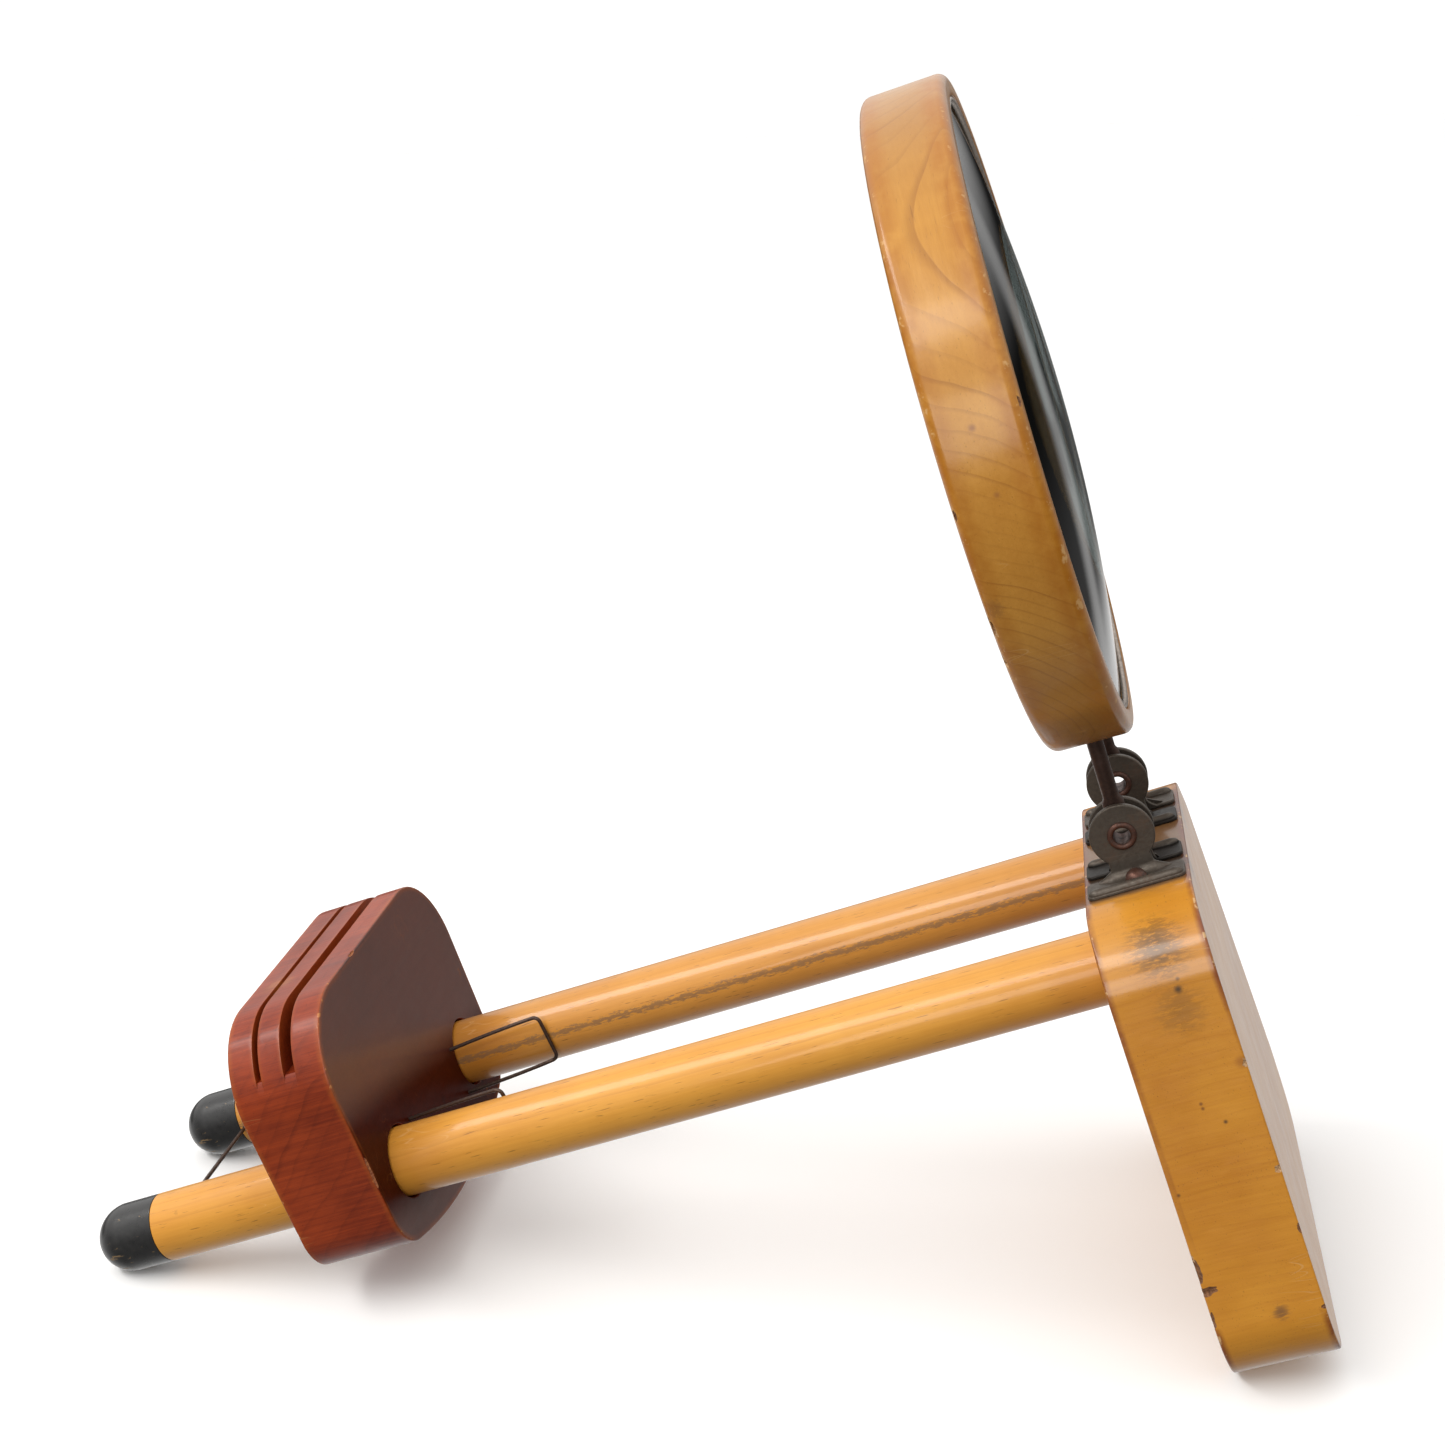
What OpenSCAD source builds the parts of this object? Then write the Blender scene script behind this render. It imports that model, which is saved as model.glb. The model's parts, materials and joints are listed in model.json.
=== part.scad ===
// Folding magnifier stand for looking at pictures.
// A big lens in a wooden ring folds on two friction hinges above a base block.
// A picture carriage slides along two dowels to bring a card into focus.
//
// Everything is first drawn in the stand's own frame: +X runs along the dowels from their domed
// tips to the block, the dowels lie at z = 0 and the block's inner face is at x = 0.
// standing() then leans the whole stand back until the two tips and the block's lower inner edge
// rest on the ground, with the origin under the middle of its bounding box.

/* [Dowels] */
// Diameter of both dowels
dowel_d = 19; // [16:0.5:21]
// Distance between the two dowel centres
dowel_pitch = 66; // [60:1:70]
// Reach of the dowels from the block to the end of the domed tip
dowel_reach = 292; // [280:1:330]
// Depth of each dowel's socket in the block
socket_depth = 19; // [12:1:22]
// Length of each black domed cap
cap_len = 20.5; // [14:0.5:26]

/* [Base block] */
// Thickness of the block along the dowels
block_t = 27; // [25:0.5:34]
// Width across the top, measured before its shoulders are rounded
block_top_w = 102; // [96:1:110]
// Width across the foot, measured before its corners are rounded
block_foot_w = 148; // [136:1:160]
// Height of the block's top above the dowel axes
block_above = 16.5; // [15:0.5:20]
// Depth of the block's foot below the dowel axes
block_below = 104; // [90:1:116]
// Radius of the block's shoulders
block_shoulder_r = 21; // [10:1:24]
// Radius of the block's foot corners
block_foot_r = 17; // [6:1:20]

/* [Picture carriage] */
// Thickness of the carriage along the dowels
carriage_t = 27.5; // [24:0.5:32]
// Width of the carriage across its top, measured before its shoulders are rounded
carriage_top_w = 112; // [108:1:118]
// Width of the carriage across its foot, measured before its corners are rounded
carriage_foot_w = 106; // [104:1:112]
// Height of the carriage's top above the dowel axes
carriage_above = 54.5; // [46:0.5:60]
// Depth of the carriage's curved foot below the dowel axes
carriage_below = 24; // [20:0.5:28]
// Radius of the carriage's shoulders
carriage_shoulder_r = 23.5; // [10:0.5:25]
// Radius of the carriage's foot corners
carriage_foot_r = 13; // [8:1:16]
// Radius of the long curve under the carriage
carriage_belly_r = 172; // [150:1:220]
// Distance from the block to the carriage's lens side
carriage_gap = 196.5; // [185:0.5:215]
// Radial play of the dowels in the carriage
bore_play = 0.6; // [0.4:0.1:1]
// Depth of the two card slots
slot_depth = 14; // [8:0.5:18]
// Width of the slot for single cards
thin_slot_w = 1.6; // [1:0.1:2.4]
// Width of the slot for mounted pictures
wide_slot_w = 3.5; // [2.6:0.1:5]

/* [Lens and ring] */
// Outer diameter of the wooden ring
ring_d = 166.6; // [160:0.2:176]
// Thickness of the wooden ring
ring_t = 20.8; // [18:0.2:24]
// Radius of the ring's eased outer edges
ring_edge_r = 2.4; // [1:0.1:4]
// Diameter of the lens
lens_d = 152.8; // [146:0.2:155]
// Height of each of the lens's curved faces
lens_sag = 7.5; // [6:0.5:9]
// Distance from the hinge axis to the centre of the lens
lens_reach = 105.8; // [103:0.2:112]
// Angle by which the lens leans back from square to the dowels
lens_lean = 2; // [0:0.5:6]

/* [Hinges] */
// Distance between the middles of the two hinges
hinge_pitch = 38.6; // [34:0.2:44]
// Height of the hinge axis above the block's top
hinge_height = 11.7; // [11:0.1:13]
// Radius of the round ears
ear_r = 8.2; // [7.5:0.1:8.6]
// Thickness of the ears
ear_t = 1.6; // [1.2:0.1:1.8]
// Thickness of the eye held between two ears
eye_t = 3.9; // [3:0.1:4.4]
// Diameter of the round stems that carry the ring
stem_d = 4.2; // [3.6:0.1:4.6]
// Length of each foot along the dowels
foot_len = 25; // [22:0.5:25]
// Reach of each foot from the middle of its hinge
foot_reach = 11.4; // [11:0.1:12]

/* [Hidden] */
$fn = 96;

glue = 0.02;        // radial gap of a glued or driven joint
running = 0.05;     // radial gap of a turning joint
past = 1;           // how far a cutter runs past a face

dowel_r = dowel_d / 2;
tip_x = -dowel_reach + dowel_r;      // centre of the domed tips
cap_x = -dowel_reach + cap_len;      // where wood changes to cap
spigot_r = dowel_r * 0.58;
spigot_len = cap_len * 0.45;

stop_wire_r = 0.6;
stop_wire_x = cap_x + 1.6;
stop_wire_bite = 6;                  // depth of the wire's ends in the dowels

// The stand leans until the tips and the block's lower inner edge touch the ground
tilt = atan2(block_below, -tip_x) - asin(dowel_r / norm([tip_x, block_below]));
low_x = tip_x * cos(tilt) - dowel_r;
high_x = block_t * cos(tilt) + block_below * sin(tilt);
ground_z = -block_below * cos(tilt);

carriage_x1 = -carriage_gap;         // lens side
carriage_x0 = carriage_x1 - carriage_t;
thin_slot_at = 0.30;                 // share of the carriage's thickness from its tip side
wide_slot_at = 0.63;

// Friction springs: a U of wire whose closed end presses on the dowel's inner side
spring_r = 0.55;
spring_h = 14.4;                     // between the two arms
spring_len = 29.5;
spring_bend_r = 1.9;
spring_bite = 7;                     // depth of the arms' ends in the carriage
spring_root_y = 21.3;
spring_tip_y = dowel_pitch / 2 - dowel_r - spring_r - 0.35;
spring_splay = atan2(spring_tip_y - spring_root_y, spring_len);
spring_rise = 4;                     // angle by which the U climbs away from the carriage
spring_root_z = -0.8;

ring_r = ring_d / 2;
lens_r = lens_d / 2;
lens_edge_t = 3;
lens_seat_x = 3.8;                   // from the ring's middle plane to the lens seat
lens_x0 = lens_seat_x + 0.8;         // lens rim, card side
lens_x1 = lens_x0 + lens_edge_t;     // lens rim, viewer's side
lens_ball_r = (lens_r * lens_r + lens_sag * lens_sag) / (2 * lens_sag);
recess_r = lens_r + 1.1;
lip_r = lens_r - 3.4;
bead_r = 1;                          // radius of the retaining ring's wire

hinge_x = block_t / 2;
hinge_z = block_above + hinge_height;
ear_gap = eye_t + 0.2;
ear_face = ear_gap / 2 + ear_t;      // outer face of an ear from the middle of its hinge
foot_t = 1.5;
neck_w = 10.6;
rib_r = 1.25;
rib_at = foot_reach - 1.5;
rib_len = foot_len - 3;
rivet_r = 2.9;
rivet_hole_r = 2.2;
rivet_rim_r = 3.7;
eye_r = 6.6;
stem_bite = 11;                      // how far the stem passes the bottom of the ring
screw_at = ear_face + 2.5;           // from the middle of the hinge
screw_head_r = 2.4;
screw_head_h = 1.9;
screw_shank_r = 1.45;
screw_len = 9.5;

wood = [0.80, 0.52, 0.22];
mahogany = [0.40, 0.12, 0.07];
black_lacquer = [0.07, 0.07, 0.07];
dark_steel = [0.24, 0.20, 0.17];
copper_brown = [0.38, 0.20, 0.13];

// ---------------------------------------------------------------- frames

module standing() {
    translate([-(low_x + high_x) / 2, 0, -ground_z]) rotate([0, -tilt, 0]) children();
}

// Origin at the middle of the hinge axis, +Z towards the lens
module lens_frame() {
    translate([hinge_x, 0, hinge_z]) rotate([0, lens_lean, 0]) children();
}

// A drawing in width and height, extruded along the dowels from x0 to x1
module along_x(x0, x1) {
    translate([x0, 0, 0]) rotate([90, 0, 90]) linear_extrude(x1 - x0) children();
}

module x_cylinder(x0, x1, r) {
    translate([x0, 0, 0]) rotate([0, 90, 0]) cylinder(h = x1 - x0, r = r);
}

module y_cylinder(y0, y1, r) {
    translate([0, y0, 0]) rotate([-90, 0, 0]) cylinder(h = y1 - y0, r = r);
}

module at_dowel(side) {
    translate([0, side * dowel_pitch / 2, 0]) children();
}

module at_hinge(side) {
    translate([hinge_x, side * hinge_pitch / 2, hinge_z]) children();
}

// ---------------------------------------------------------------- rounded outlines

function unit(v) = v / norm(v);
function half_angle(a, b, c) = acos(unit(a - b) * unit(c - b)) / 2;
function tangent_point(from, corner, half, r) = corner + unit(from - corner) * r / tan(half);
function fillet_centre(a, b, c, r) =
    b + unit(unit(a - b) + unit(c - b)) * r / sin(half_angle(a, b, c));

// Convex polygon with one radius per corner, kept as true arcs
module rounded_polygon(points, radii) {
    n = len(points);
    polygon([for (i = [0:n - 1])
        let (a = points[(i + n - 1) % n], b = points[i], c = points[(i + 1) % n],
             half = half_angle(a, b, c))
        each [tangent_point(a, b, half, radii[i]), tangent_point(c, b, half, radii[i])]]);
    for (i = [0:n - 1])
        translate(fillet_centre(points[(i + n - 1) % n], points[i], points[(i + 1) % n], radii[i]))
            circle(r = radii[i]);
}

module block_outline() {
    top = block_top_w / 2;
    foot = block_foot_w / 2;
    rounded_polygon(
        [[top, block_above], [-top, block_above], [-foot, -block_below], [foot, -block_below]],
        [block_shoulder_r, block_shoulder_r, block_foot_r, block_foot_r]);
}

// Flat top, round shoulders, sides that lean in a little and a long curve underneath.
// The foot corners stand a hair proud of the long curve, so that each arc ends at a true crossing.
module carriage_outline() {
    shoulder = [carriage_top_w / 2, carriage_above];
    foot = [carriage_foot_w / 2, -carriage_below];
    belly = [0, carriage_belly_r - carriage_below];
    up = unit(shoulder - foot);
    inward = [-up.y, up.x];
    start = foot + inward * carriage_foot_r - belly;
    reach = carriage_belly_r - carriage_foot_r + glue;
    along = -start * up - sqrt((start * up) ^ 2 - start * start + reach ^ 2);
    corner = start + up * along + belly;
    belly_x = corner.x + carriage_foot_r * corner.x / reach;
    flat_y = corner.y - carriage_foot_r;
    flat_foot = foot + up * (flat_y + carriage_below) / up.y;
    rounded_polygon(
        [shoulder, [-shoulder.x, shoulder.y], [-flat_foot.x, flat_y], flat_foot],
        [carriage_shoulder_r, carriage_shoulder_r, carriage_foot_r, carriage_foot_r]);
    intersection() {
        translate(belly) circle(r = carriage_belly_r, $fn = 360);
        translate([-belly_x, -carriage_below - past]) square([2 * belly_x, corner.y + carriage_below + past]);
    }
}

// ---------------------------------------------------------------- base

module screw_places() {
    for (hinge = [-1, 1], side = [-1, 1])
        translate([hinge_x, hinge * hinge_pitch / 2 + side * screw_at, block_above]) children();
}

module base_block() {
    standing() color(wood) difference() {
        along_x(0, block_t) block_outline();
        for (s = [-1, 1]) at_dowel(s) x_cylinder(-past, socket_depth, dowel_r + glue);
        screw_places() translate([0, 0, foot_t - screw_len]) cylinder(h = screw_len, r = screw_shank_r + glue);
    }
}

module dowel(side) {
    standing() color(wood) difference() {
        at_dowel(side) union() {
            x_cylinder(cap_x, socket_depth, dowel_r);
            x_cylinder(cap_x - spigot_len, cap_x + past, spigot_r);
        }
        stop_wire_shape(glue);
    }
}

module dowel_cap(side) {
    standing() color(black_lacquer) at_dowel(side) difference() {
        union() {
            x_cylinder(tip_x, cap_x, dowel_r);
            translate([tip_x, 0, 0]) sphere(r = dowel_r);
        }
        x_cylinder(cap_x - spigot_len, cap_x + past, spigot_r + glue);
    }
}

module stop_wire_shape(gap) {
    half = dowel_pitch / 2 - dowel_r + stop_wire_bite;
    translate([stop_wire_x, 0, 0]) y_cylinder(-half, half, stop_wire_r + gap);
}

module stop_wire() {
    standing() color(dark_steel) stop_wire_shape(0);
}

// ---------------------------------------------------------------- carriage

// Origin at the middle of the spring's root, +X along its arms
module at_spring(side) {
    translate([carriage_x1, side * spring_root_y, spring_root_z])
        rotate([0, -spring_rise, side * spring_splay]) children();
}

module spring_arms(r) {
    for (s = [-1, 1])
        translate([0, 0, s * spring_h / 2]) x_cylinder(-spring_bite, spring_len - spring_bend_r, r);
}

module friction_spring(side) {
    standing() color(dark_steel) at_spring(side) {
        spring_arms(spring_r);
        for (s = [-1, 1]) translate([spring_len - spring_bend_r, 0, s * (spring_h / 2 - spring_bend_r)])
            rotate([90, 0, 0]) rotate_extrude(angle = s * 90) translate([spring_bend_r, 0]) circle(r = spring_r);
        translate([spring_len, 0, spring_bend_r - spring_h / 2])
            cylinder(h = spring_h - 2 * spring_bend_r, r = spring_r);
    }
}

module card_slot(at, w) {
    translate([carriage_x0 + at * carriage_t - w / 2, -carriage_top_w, carriage_above - slot_depth])
        cube([w, 2 * carriage_top_w, slot_depth + past]);
}

module picture_carriage() {
    standing() color(mahogany) difference() {
        along_x(carriage_x0, carriage_x1) carriage_outline();
        for (s = [-1, 1]) {
            at_dowel(s) x_cylinder(carriage_x0 - past, carriage_x1 + past, dowel_r + bore_play);
            at_spring(s) spring_arms(spring_r + glue);
        }
        card_slot(thin_slot_at, thin_slot_w);
        card_slot(wide_slot_at, wide_slot_w);
    }
}

// ---------------------------------------------------------------- lens

// Turns a profile drawn as [radius, place along the lens axis] about the lens axis
module turned_about_lens() {
    lens_frame() translate([0, 0, lens_reach]) rotate([0, 90, 0]) rotate_extrude($fn = 180) children();
}

module ring_profile() {
    out = ring_r - ring_edge_r;
    half = ring_t / 2;
    difference() {
        union() {
            translate([lip_r, -half]) square([out - lip_r, ring_t]);
            translate([out, ring_edge_r - half]) square([ring_edge_r, ring_t - 2 * ring_edge_r]);
            for (s = [-1, 1]) translate([out, s * (half - ring_edge_r)]) circle(r = ring_edge_r, $fn = 48);
        }
        translate([lip_r - past, lens_seat_x]) square([recess_r - lip_r + past, ring_t]);
    }
}

module lens_ring() {
    standing() color(wood) difference() {
        turned_about_lens() ring_profile();
        for (s = [-1, 1]) translate([0, s * hinge_pitch / 2, 0]) lens_frame()
            cylinder(h = stem_top(), r = stem_d / 2 + glue);
    }
}

module lens() {
    standing() color([0.75, 0.8, 0.8, 0.35]) lens_frame() translate([0, 0, lens_reach]) intersection() {
        x_cylinder(lens_x0 - lens_sag - past, lens_x1 + lens_sag + past, lens_r);
        translate([lens_x1 + lens_sag - lens_ball_r, 0, 0]) rotate([0, 90, 0]) sphere(r = lens_ball_r, $fn = 720);
        translate([lens_x0 - lens_sag + lens_ball_r, 0, 0]) rotate([0, 90, 0]) sphere(r = lens_ball_r, $fn = 720);
    }
}

module lens_retaining_ring() {
    standing() color(dark_steel) turned_about_lens()
        translate([recess_r - bead_r - glue, lens_x1 + bead_r + glue]) circle(r = bead_r, $fn = 32);
}

// ---------------------------------------------------------------- hinges

module foot(side) {
    y0 = ear_gap / 2;
    floor_z = block_above - hinge_z;
    scale([1, side, 1]) difference() {
        union() {
            translate([-foot_len / 2, y0, floor_z]) cube([foot_len, foot_reach - y0, foot_t]);
            translate([0, rib_at, floor_z + foot_t]) {
                x_cylinder(-rib_len / 2 + rib_r, rib_len / 2 - rib_r, rib_r);
                for (s = [-1, 1]) translate([s * (rib_len / 2 - rib_r), 0, 0]) sphere(r = rib_r);
            }
        }
        translate([0, screw_at, floor_z - past]) cylinder(h = foot_t + 2 * past, r = screw_shank_r + glue);
    }
}

module ear(side) {
    floor_z = block_above - hinge_z;
    flare = neck_w / 2 + 1.6;
    scale([1, side, 1]) difference() {
        translate([0, ear_face, 0]) rotate([90, 0, 0]) linear_extrude(ear_t) {
            circle(r = ear_r);
            polygon([[-neck_w / 2, 0], [-neck_w / 2, floor_z + 3.4], [-flare, floor_z], [flare, floor_z],
                     [neck_w / 2, floor_z + 3.4], [neck_w / 2, 0]]);
        }
        y_cylinder(0, 2 * ear_face, rivet_r + glue);
    }
}

// One stamped bracket: a round ear and an outward foot with a stiffening rib
module bracket(hinge, side) {
    standing() color(dark_steel) at_hinge(hinge) {
        foot(side);
        ear(side);
    }
}

function stem_top() = lens_reach - ring_r + stem_bite;

// A round rod, flattened to a round eye at its foot; its upper end is driven into the ring
module hinge_stem(hinge) {
    standing() color(dark_steel) translate([0, hinge * hinge_pitch / 2, 0]) lens_frame() difference() {
        union() {
            y_cylinder(-eye_t / 2, eye_t / 2, eye_r);
            intersection() {
                translate([0, 0, eye_r / 2]) cylinder(h = ear_r, r = stem_d / 2);
                translate([-stem_d, -eye_t / 2, 0]) cube([2 * stem_d, eye_t, 2 * ear_r]);
            }
            translate([0, 0, ear_r + 0.6]) cylinder(h = stem_top() - ear_r - 0.6, r = stem_d / 2);
        }
        y_cylinder(-eye_t, eye_t, rivet_r + running);
    }
}

module hollow_rivet(hinge) {
    standing() color(copper_brown) at_hinge(hinge) rotate([90, 0, 0]) rotate_extrude() {
        translate([rivet_hole_r, -ear_face]) square([rivet_r - rivet_hole_r, 2 * ear_face]);
        for (s = [-1, 1]) intersection() {
            translate([(rivet_hole_r + rivet_rim_r) / 2, s * ear_face])
                circle(r = (rivet_rim_r - rivet_hole_r) / 2, $fn = 48);
            scale([1, s]) translate([0, ear_face]) square(2 * rivet_rim_r);
        }
    }
}

// Four round-headed wood screws, one through each foot
module hinge_screws() {
    ball_r = (screw_head_r ^ 2 + screw_head_h ^ 2) / (2 * screw_head_h);
    standing() color(copper_brown) screw_places() translate([0, 0, foot_t]) {
        translate([0, 0, -screw_len]) cylinder(h = screw_len + past / 2, r = screw_shank_r);
        intersection() {
            translate([0, 0, screw_head_h - ball_r]) sphere(r = ball_r);
            cylinder(h = 2 * screw_head_h, r = screw_head_r);
        }
    }
}

base_block();
dowel(-1);  // front_dowel
dowel(1);  // rear_dowel
dowel_cap(-1);  // front_dowel_cap
dowel_cap(1);  // rear_dowel_cap
stop_wire();
picture_carriage();
friction_spring(-1);  // front_friction_spring
friction_spring(1);  // rear_friction_spring
lens_ring();
lens();
lens_retaining_ring();
bracket(-1, -1);  // front_hinge_outer_bracket
bracket(-1, 1);  // front_hinge_inner_bracket
bracket(1, -1);  // rear_hinge_inner_bracket
bracket(1, 1);  // rear_hinge_outer_bracket
hinge_stem(-1);  // front_hinge_stem
hinge_stem(1);  // rear_hinge_stem
hollow_rivet(-1);  // front_hollow_rivet
hollow_rivet(1);  // rear_hollow_rivet
hinge_screws();
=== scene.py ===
import json
import math
import bpy
import bmesh
from mathutils import Matrix, Vector, noise


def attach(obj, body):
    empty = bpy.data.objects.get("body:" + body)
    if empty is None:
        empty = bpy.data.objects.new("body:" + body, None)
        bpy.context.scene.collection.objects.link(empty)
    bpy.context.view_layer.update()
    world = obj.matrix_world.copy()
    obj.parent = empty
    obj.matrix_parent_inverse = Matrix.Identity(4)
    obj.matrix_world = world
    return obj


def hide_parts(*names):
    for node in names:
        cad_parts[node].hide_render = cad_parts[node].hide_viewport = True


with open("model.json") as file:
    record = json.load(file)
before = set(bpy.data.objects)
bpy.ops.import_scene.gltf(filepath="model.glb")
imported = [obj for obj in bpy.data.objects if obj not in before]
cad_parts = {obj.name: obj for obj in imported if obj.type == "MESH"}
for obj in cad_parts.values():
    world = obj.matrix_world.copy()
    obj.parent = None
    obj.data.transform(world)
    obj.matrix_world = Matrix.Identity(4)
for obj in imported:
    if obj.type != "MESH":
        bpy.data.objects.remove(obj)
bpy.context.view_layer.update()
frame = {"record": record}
scene = bpy.context.scene
scene.view_settings.view_transform = "Standard"

# -------------------- frames
# Pieces are drawn in the stand's own frame, in millimetres: +X along the dowels to the block,
# dowel axes at z = 0, block's inner face at x = 0. STAND takes that frame to the shared frame.
MM = 0.001
JOINTS = {j["name"]: j for j in frame["record"]["behaviour"]["joints"]}
AXIS = Vector(JOINTS["carriage_slide"]["axis"])
BLOCK_T = 27.0                                  # base block: thickness, then height and half width
TOP_Z, TOP_HALF = 16.5, 51.0                    # of its top
BASE_Z, BASE_HALF = -104.0, 74.0                # and of its foot
SIDES = ((-1, "front"), (1, "rear"))            # sides of the stand's middle plane
DOWEL_R, DOWEL_Y, DOWEL_END = 9.5, 33.0, -292.0
SOCKET = 19.0                                   # how deep a dowel goes into the block
TIP_X = DOWEL_END + DOWEL_R                     # middle of a cap's dome
CAP_X = DOWEL_END + 20.5                        # where a cap begins
CAR_T, CAR_X1 = 27.5, -196.5                    # carriage: thickness, face towards the lens
CAR_X0 = CAR_X1 - CAR_T
HINGE_Y = 19.3                                  # middle of each hinge, off the stand's middle
HINGE = Vector((BLOCK_T / 2, 0, 28.2))          # hinge axis
LEAN = math.radians(2)                          # of the lens, at rest
REACH = 105.8                                   # hinge axis to the middle of the lens

lean_back = Matrix(((AXIS.x, 0, -AXIS.z), (0, 1, 0), (AXIS.z, 0, AXIS.x))).to_4x4()
hinge_at = Matrix.Translation(Vector(JOINTS["lens_fold"]["pos_m"]))
STAND = hinge_at @ lean_back @ Matrix.Translation(-HINGE * MM)
HEAD = STAND @ Matrix.Translation(HINGE * MM) @ Matrix.Rotation(LEAN, 4, "Y")   # hinge axis, +Z to the lens
LENS = HEAD @ Matrix.Translation((0, 0, REACH * MM))                            # middle of the ring


# -------------------- mesh helpers
def sind(degrees):
    return math.sin(math.radians(degrees))


def cosd(degrees):
    return math.cos(math.radians(degrees))


def piece(name, verts, faces, matrix, body, nodes, mats, edge=None, sharp=35, weighted=True):
    """A mesh piece from millimetre coordinates, riding on a body in place of its CAD nodes."""
    me = bpy.data.meshes.new(name)
    me.from_pydata([Vector(v) * MM for v in verts], [], faces)
    me.validate()
    if edge is not None:
        a = me.attributes.new("edge", "FLOAT", "POINT")
        a.data.foreach_set("value", edge)
    ob = bpy.data.objects.new(name, me)
    scene.collection.objects.link(ob)
    for m in mats:
        me.materials.append(m)
    ob.matrix_world = matrix
    if body:
        dress(ob, body, nodes, sharp, weighted)
    return ob


def dress(ob, body, nodes, sharp=35, weighted=True):
    me = ob.data
    bm = bmesh.new()
    bm.from_mesh(me)
    bmesh.ops.recalc_face_normals(bm, faces=bm.faces)
    bm.to_mesh(me)
    bm.free()
    for p in me.polygons:
        p.use_smooth = True
    me.set_sharp_from_angle(angle=math.radians(sharp))
    if weighted:
        w = ob.modifiers.new("weighted", "WEIGHTED_NORMAL")
        w.keep_sharp = True
    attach(ob, body)
    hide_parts(*nodes)


def boolean(ob, tools, operation="DIFFERENCE"):
    """Cuts or joins other solids into a piece for good, keeping each one's material."""
    for tool in tools:
        m = ob.modifiers.new("cut", "BOOLEAN")
        m.operation, m.solver, m.object = operation, "EXACT", tool
        m.material_mode = "TRANSFER"
        bpy.context.view_layer.update()
        dg = bpy.context.evaluated_depsgraph_get()
        new = bpy.data.meshes.new_from_object(ob.evaluated_get(dg), preserve_all_data_layers=True,
                                              depsgraph=dg)
        ob.modifiers.clear()
        old, ob.data = ob.data, new
        new.name = ob.name
        bpy.data.meshes.remove(old)
        bpy.data.objects.remove(tool)


def clear_rims(ob):
    """Takes the edge value off the rims of the two holes for the dowels."""
    for v, e in zip(ob.data.vertices, ob.data.attributes["edge"].data):
        if math.hypot(abs(v.co.y / MM) - DOWEL_Y, v.co.z / MM) < DOWEL_R + 2:
            e.value = 0.0


def loft(rings):
    """Quads between equal rings of points, with flat ends."""
    n = len(rings[0])
    verts = [p for ring in rings for p in ring]
    faces = []
    for i in range(len(rings) - 1):
        for j in range(n):
            k = (j + 1) % n
            faces.append((i * n + j, i * n + k, (i + 1) * n + k, (i + 1) * n + j))
    faces.append(tuple(range(n))[::-1])
    faces.append(tuple((len(rings) - 1) * n + j for j in range(n)))
    return verts, faces


def lathe(profile, steps, closed=False):
    """Turns (x, radius[, edge]) points about the X axis. A radius of 0 becomes a pole."""
    verts, faces, edge, start = [], [], [], []
    for p in profile:
        start.append(len(verts))
        count = 1 if p[1] < 1e-9 else steps
        for j in range(count):
            a = 2 * math.pi * j / steps
            verts.append((p[0], p[1] * math.cos(a), p[1] * math.sin(a)))
            edge.append(p[2] if len(p) > 2 else 0.0)
    pairs = [(i, i + 1) for i in range(len(profile) - 1)] + ([(len(profile) - 1, 0)] if closed else [])
    for i, k in pairs:
        for j in range(steps):
            n = (j + 1) % steps
            lo = [start[i]] if profile[i][1] < 1e-9 else [start[i] + j, start[i] + n]
            hi = [start[k]] if profile[k][1] < 1e-9 else [start[k] + n, start[k] + j]
            if len(lo) + len(hi) > 2:
                faces.append(tuple(lo + hi))
    return verts, faces, edge


def arc(cx, cy, r, a0, a1, steps):
    """Points of an arc between two angles in degrees."""
    return [(cx + r * cosd(a0 + (a1 - a0) * i / steps),
             cy + r * sind(a0 + (a1 - a0) * i / steps)) for i in range(steps + 1)]


def sweep(path, radius):
    """A round wire along a path, with slightly domed ends."""
    turns = [2 * math.pi * k / 20 for k in range(20)]
    pts = [Vector(p) for p in path]
    tangents = [(pts[min(i + 1, len(pts) - 1)] - pts[max(i - 1, 0)]).normalized() for i in range(len(pts))]
    side = tangents[0].orthogonal().normalized()
    rings = []
    for i, (p, t) in enumerate(zip(pts, tangents)):
        side = (side - t * side.dot(t)).normalized()
        up = t.cross(side)
        rings.append([p + (side * math.cos(a) + up * math.sin(a)) * radius for a in turns])
    first, last = pts[0], pts[-1]
    cap0 = [first + (q - first) * 0.6 - tangents[0] * radius * 0.4 for q in rings[0]]
    cap1 = [last + (q - last) * 0.6 + tangents[-1] * radius * 0.4 for q in rings[-1]]
    return loft([cap0] + rings + [cap1])


def move(points, m):
    return [m @ Vector(p) for p in points]


def along_y(points):
    """Turns points made about the X axis to lie about the Y axis."""
    return move(points, Matrix.Rotation(math.radians(90), 4, "Z"))


def tool(verts, faces, material, matrix=STAND):
    """A solid that is only used to cut or join another one."""
    return piece("tool", verts, faces, matrix, None, (), [material])


def bores(profile, material):
    """Two turned tools, one along each dowel."""
    tools = []
    for s in (-1, 1):
        verts, faces, _ = lathe(profile, 96)
        tools.append(tool(move(verts, Matrix.Translation((0, s * DOWEL_Y, 0))), faces, material))
    return tools


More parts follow.
